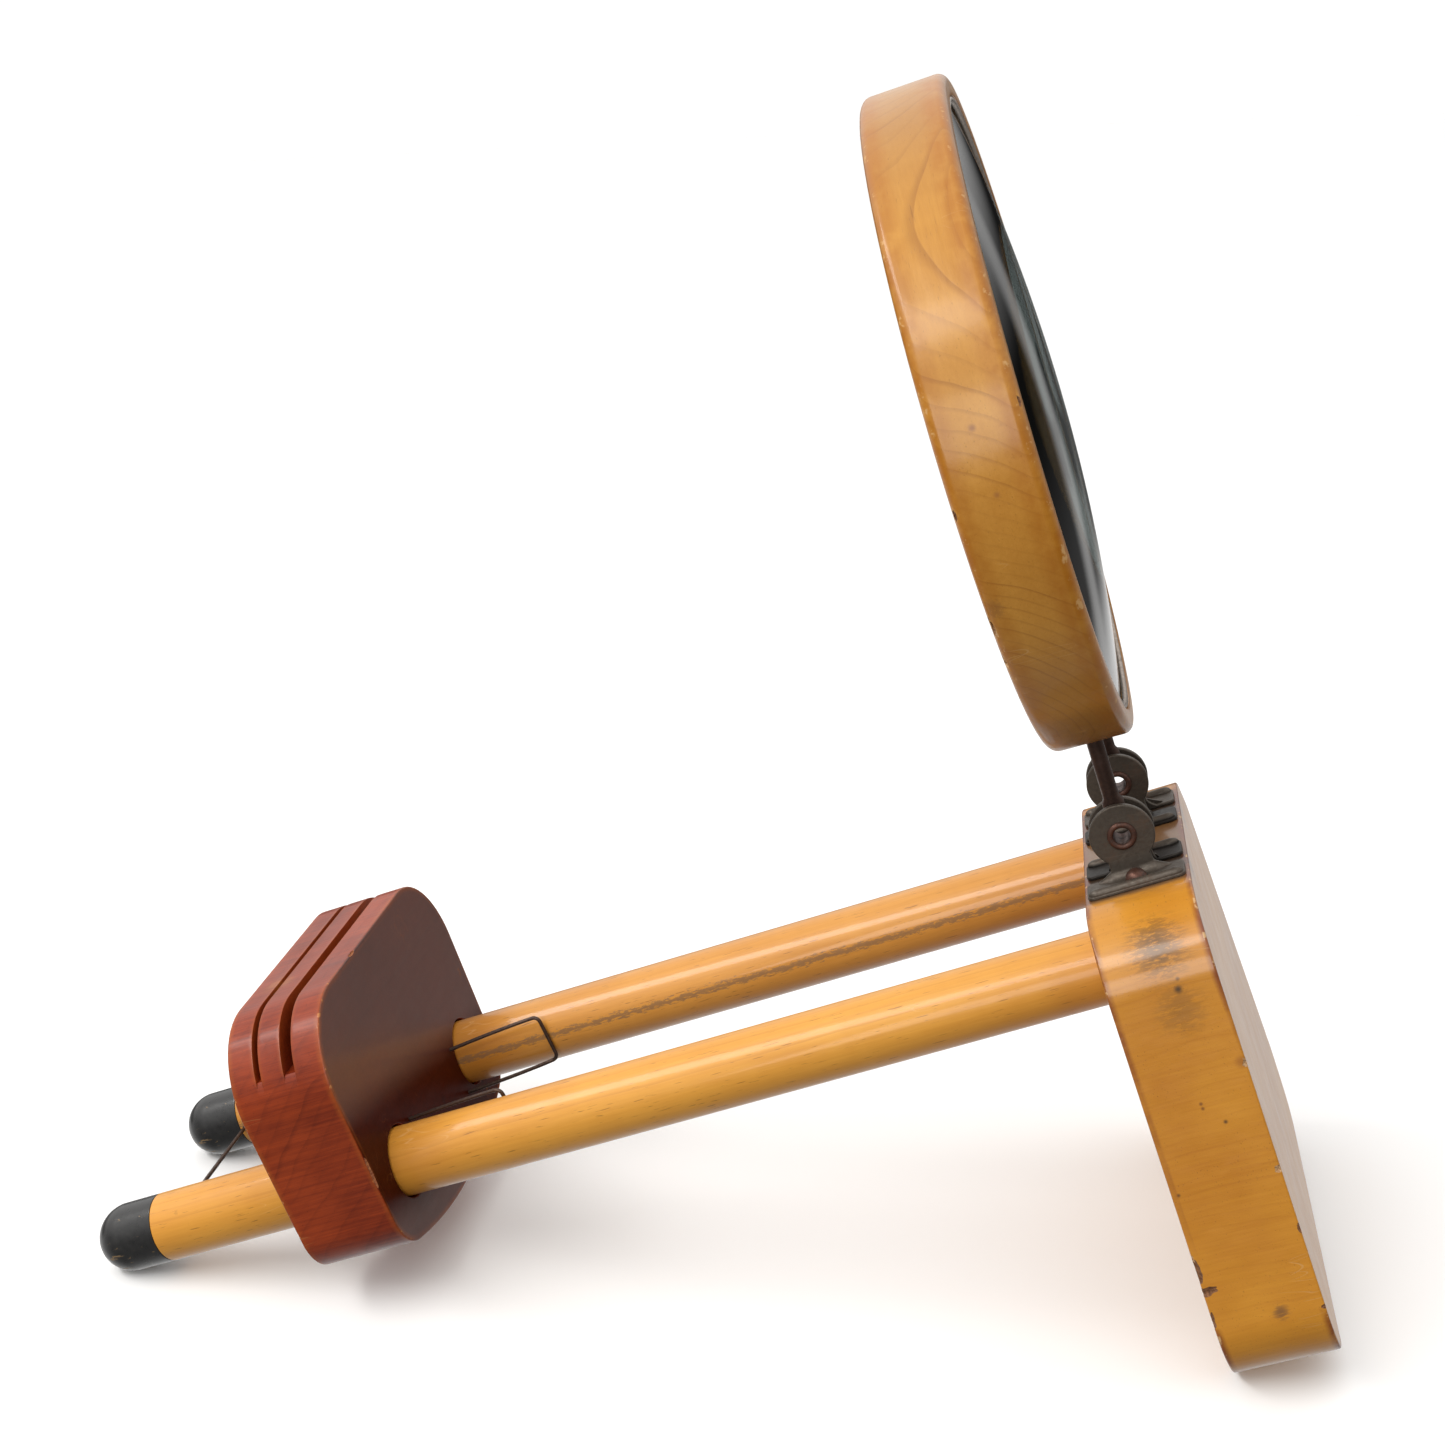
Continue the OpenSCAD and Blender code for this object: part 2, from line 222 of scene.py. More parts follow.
def fillets(points, radii, steps):
    """Arcs (centre, radius, start, end, steps) of a convex counter-clockwise polygon."""
    arcs = []
    n = len(points)
    for i, (p, r) in enumerate(zip(points, radii)):
        b, a, c = Vector(p), Vector(points[i - 1]), Vector(points[(i + 1) % n])
        u, w = (a - b).normalized(), (c - b).normalized()
        half = math.acos(max(-1, min(1, u.dot(w)))) / 2
        centre = b + (u + w).normalized() * r / math.sin(half)
        n0 = math.atan2(-(b - a).x, (b - a).y)
        n1 = math.atan2(-(c - b).x, (c - b).y)
        while n1 < n0:
            n1 += 2 * math.pi
        arcs.append((centre.x, centre.y, r, n0, n1, steps))
    return arcs


def outline(arcs, inset=0.0):
    out = []
    for cx, cy, r, a0, a1, steps in arcs:
        for i in range(steps + 1):
            a = a0 + (a1 - a0) * i / steps
            out.append((cx + (r - inset) * math.cos(a), cy + (r - inset) * math.sin(a)))
    return out


FADE = 1.3      # from an eased edge to the plain face


def eased_edge(x, ease, way):
    """Stations (x, inset, edge value) from a face at x over its rounded edge, inwards along way."""
    rounding = [(x + way * ease * (1 - cosd(a)), ease * (1 - sind(a)), 1) for a in range(0, 91, 18)]
    return [(x, ease + FADE, 0)] + rounding + [(x + way * ease + way * FADE, 0, 0)]


def slab(arcs, x0, x1, ease, stations, waver):
    """A board with eased, slightly uneven edges: its rings of points, and values that are 1 on the edges."""
    rings, edge = [], []

    def add(x, inset, e):
        ring = []
        for y, z in outline(arcs, inset):
            w = waver * noise.noise(Vector((x * 0.11, y * 0.09, z * 0.09))) if e > 0 else 0
            ring.append((x + (w if x < (x0 + x1) / 2 else -w) * 0.5, y * (1 - 0.002 * w), z))
        rings.append(ring)
        edge.extend([e] * len(ring))

    for station in eased_edge(x0, ease, 1) + [(x, 0, 0) for x in stations] + eased_edge(x1, ease, -1)[::-1]:
        add(*station)
    return rings, edge


def from_bmesh(name, bm, material, matrix):
    me = bpy.data.meshes.new(name)
    bm.to_mesh(me)
    bm.free()
    me.materials.append(material)
    ob = bpy.data.objects.new(name, me)
    scene.collection.objects.link(ob)
    ob.matrix_world = matrix
    return ob


def rock(centre, size, seed, material, matrix):
    """A small lump that chips an edge."""
    bm = bmesh.new()
    bmesh.ops.create_icosphere(bm, subdivisions=3, radius=1)
    for v in bm.verts:
        lumps = noise.noise(v.co * 1.7 + Vector((seed * 7.1, 0, 0)))
        grain = noise.noise(v.co * 4 + Vector((0, seed, 0)))
        stretched = Vector([c * half for c, half in zip(v.co, size)])
        v.co = stretched * (1 + 0.45 * lumps + 0.2 * grain) + Vector(centre)
        v.co *= MM
    return from_bmesh("chip", bm, material, matrix)


# -------------------- material helpers
class Graph:
    """A few short words for building a node tree, for a material or for the world."""

    def __init__(self, name, world=False):
        self.mat = (bpy.data.worlds if world else bpy.data.materials).new(name)
        self.mat.use_nodes = True
        self.tree = self.mat.node_tree
        self.shader = self.tree.nodes["Background" if world else "Principled BSDF"]

    def node(self, kind, **props):
        n = self.tree.nodes.new(kind)
        for k, v in props.items():
            setattr(n, k, v)
        return n

    def put(self, socket, value):
        if isinstance(value, bpy.types.NodeSocket):
            self.tree.links.new(value, socket)
        elif value is not None:
            socket.default_value = value

    def math(self, op, a, b=None, clamp=False):
        n = self.node("ShaderNodeMath", operation=op, use_clamp=clamp)
        for s, v in zip(n.inputs, (a, b)):
            self.put(s, v)
        return n.outputs[0]

    def plus(self, a, b, clamp=False):
        return self.math("ADD", a, b, clamp=clamp)

    def minus(self, a, b):
        return self.math("SUBTRACT", a, b)

    def times(self, a, b):
        return self.math("MULTIPLY", a, b)

    def vec(self, op, a, b=None):
        n = self.node("ShaderNodeVectorMath", operation=op)
        self.put(n.inputs[0], a)
        if b is not None:
            if op == "SCALE":
                self.put(n.inputs["Scale"], b)
            else:
                self.put(n.inputs[1], b)
        return n.outputs["Value" if op == "DISTANCE" else "Vector"]

    def shade(self, **values):
        """Sets the shader's own sockets. Base_Color stands for Base Color."""
        for name, value in values.items():
            self.put(self.shader.inputs[name.replace("_", " ")], value)

    def coords(self):
        """Object coordinates in millimetres."""
        return self.vec("SCALE", self.node("ShaderNodeTexCoord").outputs["Object"], 1000.0)

    def swap(self, vector, order):
        s = self.node("ShaderNodeSeparateXYZ")
        self.put(s.inputs[0], vector)
        c = self.node("ShaderNodeCombineXYZ")
        for i, ch in enumerate(order):
            self.put(c.inputs[i], s.outputs["xyz".index(ch)])
        return c.outputs[0]

    def parts(self, vector):
        s = self.node("ShaderNodeSeparateXYZ")
        self.put(s.inputs[0], vector)
        return s.outputs

    def turn(self, vector, rotation=(0, 0, 0), scale=(1, 1, 1)):
        m = self.node("ShaderNodeMapping")
        self.put(m.inputs["Vector"], vector)
        m.inputs["Rotation"].default_value = [math.radians(a) for a in rotation]
        m.inputs["Scale"].default_value = scale
        return m.outputs[0]

    def noise(self, vector, scale=1.0, detail=3.0, rough=0.55, warp=0.0, colour=False):
        n = self.node("ShaderNodeTexNoise")
        self.put(n.inputs["Vector"], vector)
        for k, v in (("Scale", scale), ("Detail", detail), ("Roughness", rough), ("Distortion", warp)):
            self.put(n.inputs[k], v)
        return n.outputs["Color" if colour else "Fac"]

    def step(self, value, lo, hi, a=0.0, b=1.0):
        n = self.node("ShaderNodeMapRange", interpolation_type="SMOOTHSTEP")
        for k, v in (("Value", value), ("From Min", lo), ("From Max", hi), ("To Min", a), ("To Max", b)):
            self.put(n.inputs[k], v)
        return n.outputs[0]

    def mix(self, fac, a, b):
        n = self.node("ShaderNodeMix", data_type="RGBA")
        self.put(n.inputs["Factor"], fac)
        for s, v in ((n.inputs[6], a), (n.inputs[7], b)):
            self.put(s, (*v, 1.0) if isinstance(v, tuple) and len(v) == 3 else v)
        return n.outputs[2]

    def attribute(self, name):
        return self.node("ShaderNodeAttribute", attribute_name=name).outputs["Fac"]

    def spot(self, p, centre, radius, soft=0.6):
        """1 in the middle of a blot, 0 outside it."""
        return self.step(self.vec("DISTANCE", p, centre), radius, radius * (1 - soft))

    def bump(self, height, strength, distance, normal=None):
        n = self.node("ShaderNodeBump")
        self.put(n.inputs["Height"], height)
        n.inputs["Strength"].default_value = strength
        n.inputs["Distance"].default_value = distance
        if normal is not None:
            self.put(n.inputs["Normal"], normal)
        return n.outputs[0]

    def scratches(self, p, rotation, scale=0.06, width=0.006, stretch=9.0, gate=0.62):
        """Thin broken lines, 1 on a scratch."""
        q = self.turn(p, rotation, (1, stretch, stretch * 0.7))
        n = self.noise(q, scale * 0.4, 1.0, 0.4, 0.2)
        line = self.step(self.math("ABSOLUTE", self.minus(n, 0.5)), width, width * 0.25)
        there = self.step(self.noise(p, 0.05, 2.0), gate, gate + 0.06)
        return self.times(line, there)


def late_wood(g, q, centre, spacing, warp, onset):
    """1 on the dark line that ends each year's growth, and less in some years."""
    slow = g.noise(g.turn(q, scale=(0.25, 1, 1)), 0.022, 3.0, 0.5, colour=True)
    q = g.vec("ADD", q, g.vec("SCALE", g.vec("SUBTRACT", slow, (0.5, 0.5, 0.5)), warp * 6))
    x, y, z = g.parts(q)
    radius = g.math("SQRT", g.plus(g.math("POWER", g.minus(y, centre[0]), 2.0),
                                   g.math("POWER", g.minus(z, centre[1]), 2.0)))
    years = g.math("DIVIDE", radius, spacing)
    season = g.math("FRACT", years)
    late = g.times(g.step(season, onset, 0.97), g.step(season, 1.0, 0.965))
    which = g.noise(g.math("FLOOR", years), 3.7, 0.0)
    return g.times(late, g.step(which, 0.3, 0.75, 0.25, 1.0))


def with_tint_spots(g, colour, p, q, along, tint_spots):
    """Spots of tint, each (place, radius, tint, amount, grit), painted shade among them. Grit breaks a spot
    up along the grain.
    """
    stretch = [0.22 if i == along else 1 for i in range(3)]
    for at, radius, tint, amount, grit in tint_spots:
        mask = g.spot(p, at, radius, 0.9)
        if grit > 0:
            grain = g.noise(g.turn(q, scale=stretch), grit, 5.0, 0.75)
            mask = g.times(mask, g.step(g.plus(grain, g.times(mask, 0.20)), 0.5, 0.66))
        colour = g.mix(g.times(mask, amount), colour, tint)
    return colour


def with_rub(g, colour, p, place, tint):
    """A frayed line along X where something has rubbed. place is its (y, z)."""
    track = g.vec("DISTANCE", g.turn(p, scale=(0, 1, 1)), (0, *place))
    worn_off = g.noise(g.turn(p, scale=(0.22, 1, 1)), 1.7, 5.0, 0.8)
    frayed = g.plus(track, g.times(g.minus(worn_off, 0.5), 7.0))
    return g.mix(g.times(g.step(frayed, 1.15, 0.45), 0.75), colour, tint)


def with_dust(g, colour, p, cloud, fibre, top, tints, shaded_spots, painted_shade):
    """Dust on a flat top up to the rounded shoulders, and painted shade: near-black spots in the gap between
    the feet of each hinge.
    """
    x, y, z = g.parts(p)
    settled = g.times(g.step(z, top - 0.7, top - 0.1), g.step(cloud, 0.2, 0.7, 0.95, 0.8))
    settled = g.times(settled, g.step(g.math("ABSOLUTE", y), 33.5, 31.0))
    colour = g.mix(settled, colour, g.mix(fibre, *tints))
    # painted shade: near-black spots in the gap under each hinge, between its feet
    for at in shaded_spots:
        colour = g.mix(g.times(g.spot(p, at, 10.5, 0.6), 0.85), colour, painted_shade)
    return colour


def with_face_shade_and_sheen(g, colour, p, middle, half, low, sheen_colour):
    """Faces across X, given painted light: painted shade, near black and dull, around the dowels, and a pale
    painted sheen above. Returns the colour and the gloss.
    """
    x, y, z = g.parts(p)
    on_face = g.step(g.math("ABSOLUTE", g.minus(x, middle)), half - 0.25, half)
    level = g.plus(z, g.times(y, 0.21))
    # the band of painted shade around the dowels; above it the face takes the painted sheen colour
    shade_band = g.times(g.step(level, 20.0, 8.0), g.step(level, -24.0, -12.0))
    colour = g.mix(g.times(on_face, 0.85), colour, g.mix(shade_band, sheen_colour, low))
    return colour, g.minus(1.0, g.times(g.times(shade_band, on_face), 0.85))


def wood(name, order, centre, spacing, light, dark, line, edge_colour, *, lines=0.5, streak=0.6, warp=3.0,
         tilt=(0, 0, 0), rough=0.36, coat=0.35, coat_rough=0.16, edge_strength=0.7, pores=0.35, figure=0.25,
         tint_spots=(), speckle=0.25, pale=(0.8, 0.55, 0.3), scratch=0.5, spec=0.35, along=0, onset=0.45,
         rub=None, face_shade_and_sheen=None, wave=0.25, dusty=None):
    """Varnished wood. order puts the trunk's axis first, centre is the pith across it in millimetres, and
    along says which of the ordered axes the fibres follow. rub, dusty and flats hold what with_rub, with_dust
    and with_face_shade_and_sheen need. The rest are colours and amounts."""
    g = Graph(name)
    p = g.coords()
    q = g.turn(g.swap(p, order), tilt)
    late = late_wood(g, q, centre, spacing, warp, onset)
    stretch = [0.035 if i == along else 1 for i in range(3)]
    fibre = g.noise(g.turn(q, scale=stretch), 1.1, 4.0, 0.6)
    fine = g.noise(g.turn(q, scale=stretch), 4.2, 3.0, 0.65)
    cloud = g.noise(g.turn(q, scale=(0.35, 1, 1)), 0.035, 3.0, 0.5)
    shimmer = g.noise(g.turn(q, scale=(1, 0.3, 0.3)), 0.11, 2.0, 0.5, 0.6)
    tone = g.plus(g.times(g.minus(fibre, 0.5), streak),
                  g.plus(g.times(g.minus(cloud, 0.5), 1.5), g.times(g.minus(shimmer, 0.5), figure)))
    tone = g.plus(tone, g.times(g.minus(fine, 0.5), streak * 0.6))
    colour = g.mix(g.plus(tone, 0.45, clamp=True), light, dark)
    colour = g.mix(g.times(late, lines), colour, line)
    pore = g.step(g.noise(g.turn(q, scale=(0.07, 1, 1)), 2.6, 2.0, 0.5), 0.66, 0.73)
    colour = g.mix(g.times(pore, pores), colour, tuple(c * 0.45 for c in line))
    dirt = g.times(g.step(g.noise(p, 0.5, 4.0, 0.65), 0.66, 0.76), g.step(g.noise(p, 0.045, 2.0), 0.5, 0.66))
    colour = g.mix(g.times(dirt, speckle), colour, tuple(c * 0.3 for c in dark))
    colour = with_tint_spots(g, colour, p, q, along, tint_spots)
    if rub:
        colour = with_rub(g, colour, p, *rub)
    if dusty:
        colour = with_dust(g, colour, p, cloud, fibre, *dusty)
    # painted shade and painted sheen on the carriage's faces across X
    if face_shade_and_sheen:
        colour, gloss = with_face_shade_and_sheen(g, colour, p, *face_shade_and_sheen)
    edge = g.attribute("edge")
    ragged = g.times(edge, g.step(g.noise(p, 0.16, 3.0, 0.6), 0.3, 0.62, 0.35, 1.0))
    colour = g.mix(g.times(ragged, edge_strength), colour, edge_colour)
    worn = g.times(g.step(edge, 0.8, 0.98), g.step(g.noise(p, 0.33, 3.0, 0.7), 0.57, 0.66))
    colour = g.mix(g.times(worn, 0.75), colour, pale)
    marks = g.math("MAXIMUM", g.scratches(p, (20, 35, 40)), g.scratches(p, (70, 10, 110), 0.08))
    colour = g.mix(g.times(marks, scratch), colour, pale)

    dull = g.plus(g.times(g.minus(g.noise(p, 0.09, 3.0), 0.5), 0.22), rough)
    dull = g.plus(dull, g.times(g.math("MAXIMUM", worn, marks), 0.25), clamp=True)
    if face_shade_and_sheen:
        spec, coat = g.times(gloss, spec), g.times(gloss, coat)
    height = g.plus(g.times(fine, 0.5), g.times(fibre, 0.5))
    height = g.minus(height, g.times(g.math("MAXIMUM", pore, marks), 0.6))
    height = g.minus(height, g.times(late, 0.25))
    uneven = g.bump(g.noise(g.turn(q, scale=(0.3, 1, 1)), 0.12, 2.0), wave, 0.0009)
    g.shade(Base_Color=colour, Roughness=dull, IOR=1.48, Specular_IOR_Level=spec, Coat_Weight=coat,
            Coat_Roughness=coat_rough, Normal=g.bump(height, 0.22, 0.00012, uneven))
    return g.mat


def raw_wood(name, light, dark):
    """Torn fibres where an edge is chipped."""
    g = Graph(name)
    p = g.coords()
    f = g.noise(g.turn(g.swap(p, "yxz"), scale=(0.12, 1, 1)), 1.6, 4.0, 0.7)
    g.shade(Base_Color=g.mix(g.step(f, 0.3, 0.7), light, dark), Roughness=g.step(f, 0.2, 0.8, 0.6, 0.9),
            Normal=g.bump(f, 0.8, 0.0005))
    return g.mat


def metal(name, base, dull, rust, *, metallic=0.75, rough=0.42, coverage=0.5, bumpy=0.25, painted_shade=None):
    """Old browned steel or copper, rubbed in places and dirty in others. Its last keyword, two heights in the
    piece's own frame, paints shade: below the first the steel is near black, above the second it keeps its
    colour."""
    g = Graph(name)
    p = g.coords()
    big = g.noise(p, 0.12, 4.0, 0.6)
    small = g.noise(p, 0.9, 4.0, 0.65)
    patch = g.plus(g.times(big, 0.7), g.times(small, 0.3))
    patch = g.step(patch, 0.62 - 0.3 * coverage, 0.8 - 0.3 * coverage)
    colour = g.mix(g.step(small, 0.3, 0.75), base, dull)
    colour = g.mix(g.times(patch, 0.85), colour, rust)
    rub = g.scratches(p, (15, 60, 20), 0.25, 0.02, 6.0, 0.45)
    colour = g.mix(g.times(rub, 0.12), colour, tuple(min(1, c * 2.2) for c in base))
    # painted shade: the steel goes near black below a height, on the foot's floor between ear and rib
    if painted_shade:
        black, lit_height = painted_shade
        shaded = g.step(g.parts(p)[2], lit_height, black, 0.0, 0.85)
        colour = g.mix(shaded, colour, (0.007, 0.005, 0.004))
    height = g.plus(g.noise(p, 2.2, 4.0, 0.7), g.times(patch, 0.4))
    g.shade(Base_Color=colour, Metallic=g.step(patch, 0.0, 1.0, metallic, metallic * 0.45),
            Roughness=g.plus(g.times(small, 0.25), g.plus(g.times(patch, 0.18), rough - 0.12)),
            Normal=g.bump(height, bumpy, 0.0001))
    return g.mat


def black_lacquer():
    """Glossy black, rubbed through to the wood around the nose."""
    g = Graph("black_lacquer")
    p = g.coords()
    x = g.parts(p)[0]
    streaks = g.noise(g.turn(p, (10, 25, 30), (0.35, 1.0, 1.8)), 0.55, 5.0, 0.72, 0.5)
    nose = g.times(g.step(x, CAP_X - 6.0, TIP_X - 4.5), g.step(g.parts(p)[2], 4.0, -4.0, 0.35, 1.0))
    wear = g.step(g.plus(streaks, g.times(nose, 0.11)), 0.655, 0.71)
    tiny = g.step(g.noise(p, 1.7, 3.0, 0.7), 0.75, 0.79)
    fine = g.noise(p, 0.5, 4.0, 0.6)
    colour = g.mix(fine, (0.006, 0.006, 0.007), (0.02, 0.019, 0.018))
    colour = g.mix(g.times(wear, 0.8), colour, (0.24, 0.15, 0.065))
    colour = g.mix(g.times(tiny, 0.5), colour, (0.16, 0.12, 0.08))
    height = g.minus(g.noise(p, 0.35, 3.0), g.times(wear, 0.5))
    g.shade(Base_Color=colour, Roughness=g.plus(g.times(fine, 0.3), g.plus(g.times(wear, 0.3), 0.16)),
            Coat_Weight=0.25, Coat_Roughness=0.12, Normal=g.bump(height, 0.22, 0.00018))
    return g.mat


def optical_glass():
    """Clear crown glass with a little dust and the faint smears of use."""
    g = Graph("lens_glass")
    p = g.coords()
    smear = g.step(g.noise(g.turn(p, (0, 30, 20), (1, 0.5, 1.6)), 0.03, 4.0, 0.6, 0.8), 0.5, 0.75)
    dust = g.step(g.noise(p, 1.1, 2.0, 0.6), 0.74, 0.78)
    g.shade(Base_Color=g.mix(g.times(dust, 0.35), (0.93, 0.96, 0.95), (0.5, 0.5, 0.48)),
            Roughness=g.plus(g.times(smear, 0.035), g.times(dust, 0.2)), IOR=1.52, Transmission_Weight=1.0)
    body = g.node("ShaderNodeVolumeAbsorption")
    body.inputs["Color"].default_value = (0.36, 0.42, 0.41, 1)
    body.inputs["Density"].default_value = 26.0
    g.tree.links.new(body.outputs[0], g.tree.nodes["Material Output"].inputs["Volume"])
    return g.mat


def floor_material():
    g = Graph("pale_floor")
    g.shade(Base_Color=(0.93, 0.93, 0.93, 1), Roughness=0.6, Specular_IOR_Level=0.2)
    return g.mat


# -------------------- materials in use
BLACKISH = (0.03, 0.02, 0.012)
BURNT = (0.14, 0.045, 0.01)
DARK_DOT = (0.25, 0.09, 0.03)
SMUDGE = (0.07, 0.04, 0.025)


def on_side(x, z, s=-1):
    """A point on the block's sloping side."""
    return (x, s * (TOP_HALF + (BASE_HALF - TOP_HALF) * (TOP_Z - z) / (TOP_Z - BASE_Z)), z)


block_wood = wood(
    "block_wood", "yxz", (8, -420), 3.4, light=(0.60, 0.262, 0.022), dark=(0.44, 0.160, 0.010),
    line=(0.32, 0.10, 0.008), edge_colour=(0.17, 0.030, 0.008), lines=0.14, warp=1.6, coat=0.55,
    coat_rough=0.12, figure=0.2, pores=0.45, along=1, onset=0.7, edge_strength=0.85,
    tint_spots=(((15, -47, 6), 12.5, (0.035, 0.022, 0.010), 0.85, 1.5),
           ((16, -52, -7), 11.0, (0.10, 0.05, 0.015), 0.45, 1.2),
           (on_side(17, -1.5), 1.5, BLACKISH, 0.85, 0),
           (on_side(17.6, 1.0), 0.8, (0.1, 0.05, 0.02), 0.7, 0),
           (on_side(13.7, -29.4), 0.7, BURNT, 0.8, 0),
           (on_side(13.8, -30.6), 0.7, BURNT, 0.8, 0),
           (on_side(18, -35), 0.8, BLACKISH, 0.8, 0),
           (on_side(1.8, -49.5), 0.7, BLACKISH, 0.7, 0),
           (on_side(16.5, -83), 3.2, (0.10, 0.05, 0.03), 0.7, 1.2),
           (on_side(26, -22), 2.4, (0.30, 0.10, 0.012), 0.7, 0),
           ((13.5, -19, TOP_Z), 24.0, SMUDGE, 0.6, 0.9),
           ((13.5, 19, TOP_Z), 24.0, SMUDGE, 0.6, 0.9)),
    pale=(0.62, 0.40, 0.18), scratch=0.25,
    # the last two entries: spots of painted shade in the gap between each hinge's feet, and their near-black
    # colour
    dusty=(TOP_Z, ((0.155, 0.085, 0.046), (0.072, 0.039, 0.022)),
           [(x, y, TOP_Z) for x in (6, 21) for y in (-HINGE_Y, HINGE_Y)], (0.03, 0.02, 0.014)))
dowel_finish = dict(
    edge_colour=(0.3, 0.12, 0.03), pores=0.6, figure=0.3, wave=0.1, onset=0.65, pale=(0.8, 0.52, 0.24),
    scratch=0.2)
dowel_wood = wood(
    "dowel_wood", "xyz", (46, 30), 2.7, light=(0.74, 0.350, 0.050), dark=(0.54, 0.21, 0.022),
    line=(0.38, 0.135, 0.014), lines=0.25, warp=1.4, rough=0.38, coat=0.36, coat_rough=0.10,
    tint_spots=(((-152, 32, 7), 3.0, (0.2, 0.06, 0.02), 0.55, 0),
           ((-10, -2, 0), 11.0, (0.36, 0.11, 0.015), 0.55, 0),
           ((-190, -2, 0), 17.0, (0.42, 0.15, 0.02), 0.4, 0)),
    **dowel_finish)
worn_dowel_wood = wood(
    "worn_dowel_wood", "xyz", (60, 12), 2.5, light=(0.68, 0.31, 0.05), dark=(0.47, 0.18, 0.02),
    line=(0.34, 0.12, 0.016), lines=0.3, warp=1.6, coat=0.5, coat_rough=0.09,
    tint_spots=(((-190, -2, 0), 20.0, (0.36, 0.11, 0.015), 0.5, 0),),
    rub=((-9.4, 1.2), (0.20, 0.115, 0.06)), **dowel_finish)
ring_wood = wood(
    "ring_wood", "zxy", (-32, 8), 2.7, light=(0.60, 0.290, 0.046), dark=(0.42, 0.170, 0.016),
    line=(0.25, 0.085, 0.008), edge_colour=(0.36, 0.120, 0.004), lines=0.5, warp=1.3, tilt=(0, 42, 0),
    rough=0.34, coat=0.3, coat_rough=0.14, figure=0.6, pores=0.3, onset=0.72, edge_strength=0.95,
    # the first two spots darken the ring towards its top and, as painted shade, towards its bottom
    tint_spots=(((0, -30, 86), 60.0, (0.28, 0.128, 0.030), 0.6, 0),
           ((0, -45, -78), 62.0, (0.20, 0.085, 0.018), 0.55, 0),
           ((2, -83, 26), 3.2, (0.33, 0.13, 0.04), 0.5, 1.0),
           ((-1, -82, 13), 1.3, DARK_DOT, 0.8, 0),
           ((5, -83, 12), 0.9, DARK_DOT, 0.7, 0),
           ((0, -83, -2), 1.1, DARK_DOT, 0.6, 0),
           ((-8.5, -79, -27), 4.5, (0.2, 0.09, 0.03), 0.55, 1.2)),
    pale=(0.60, 0.36, 0.14), scratch=0.45)
mahogany = wood(
    "mahogany", "yxz", (20, -260), 4.0, light=(0.34, 0.048, 0.009), dark=(0.11, 0.010, 0.003),
    line=(0.04, 0.004, 0.002), edge_colour=(0.36, 0.085, 0.012), lines=0.3, streak=1.1, warp=2.6,
    coat=0.22, coat_rough=0.14, figure=0.5, pores=0.5, edge_strength=0.5, pale=(0.50, 0.20, 0.06),
    scratch=0.25, speckle=0.5, spec=0.24, along=1, onset=0.6,
    # painted light on the carriage's faces across X: painted shade, near black, around the dowels, and a pale
    # painted sheen above
    face_shade_and_sheen=((CAR_X0 + CAR_X1) / 2, 13.7, (0.02, 0.002, 0.001), (0.105, 0.055, 0.045)),
    tint_spots=(((-216, -20, 54), 7.0, (0.42, 0.15, 0.035), 0.5, 0.8),
           ((-197, 3.5, -0.7), 2.2, (0.05, 0.012, 0.008), 0.7, 0)))
pale_chip = raw_wood("pale_chip", (0.62, 0.40, 0.20), (0.34, 0.16, 0.06))
brown_chip = raw_wood("brown_chip", (0.30, 0.13, 0.05), (0.11, 0.045, 0.02))
red_chip = raw_wood("red_chip", (0.45, 0.17, 0.06), (0.20, 0.05, 0.02))
HINGE_BROWNS = (0.092, 0.076, 0.060), (0.066, 0.052, 0.041), (0.090, 0.050, 0.030)
hinge_finish = dict(rough=0.44, coverage=0.4, metallic=0.55, bumpy=0.15)
hinge_steel = metal("hinge_steel", *HINGE_BROWNS, **hinge_finish)
# hinge steel with painted shade low on the foot's floor
hinge_steel_with_painted_shade = metal("hinge_steel_with_painted_shade", *HINGE_BROWNS, painted_shade=(-10.6, -9.7), **hinge_finish)
stem_steel = metal("stem_steel", (0.070, 0.040, 0.030), (0.042, 0.024, 0.019), (0.045, 0.020, 0.013),
                   rough=0.36, bumpy=0.15)
copper = metal("copper_brown", (0.105, 0.045, 0.030), (0.065, 0.030, 0.021), (0.035, 0.02, 0.015),
               metallic=0.6, rough=0.40, coverage=0.4)
wire_steel = metal("browned_wire", (0.10, 0.065, 0.05), (0.055, 0.035, 0.028), (0.04, 0.02, 0.014),
                   rough=0.4)
bead_steel = metal("bead_steel", (0.42, 0.36, 0.31), (0.28, 0.23, 0.19), (0.13, 0.085, 0.06),
                   metallic=0.85, rough=0.38, coverage=0.2)
black = black_lacquer()
glass = optical_glass()

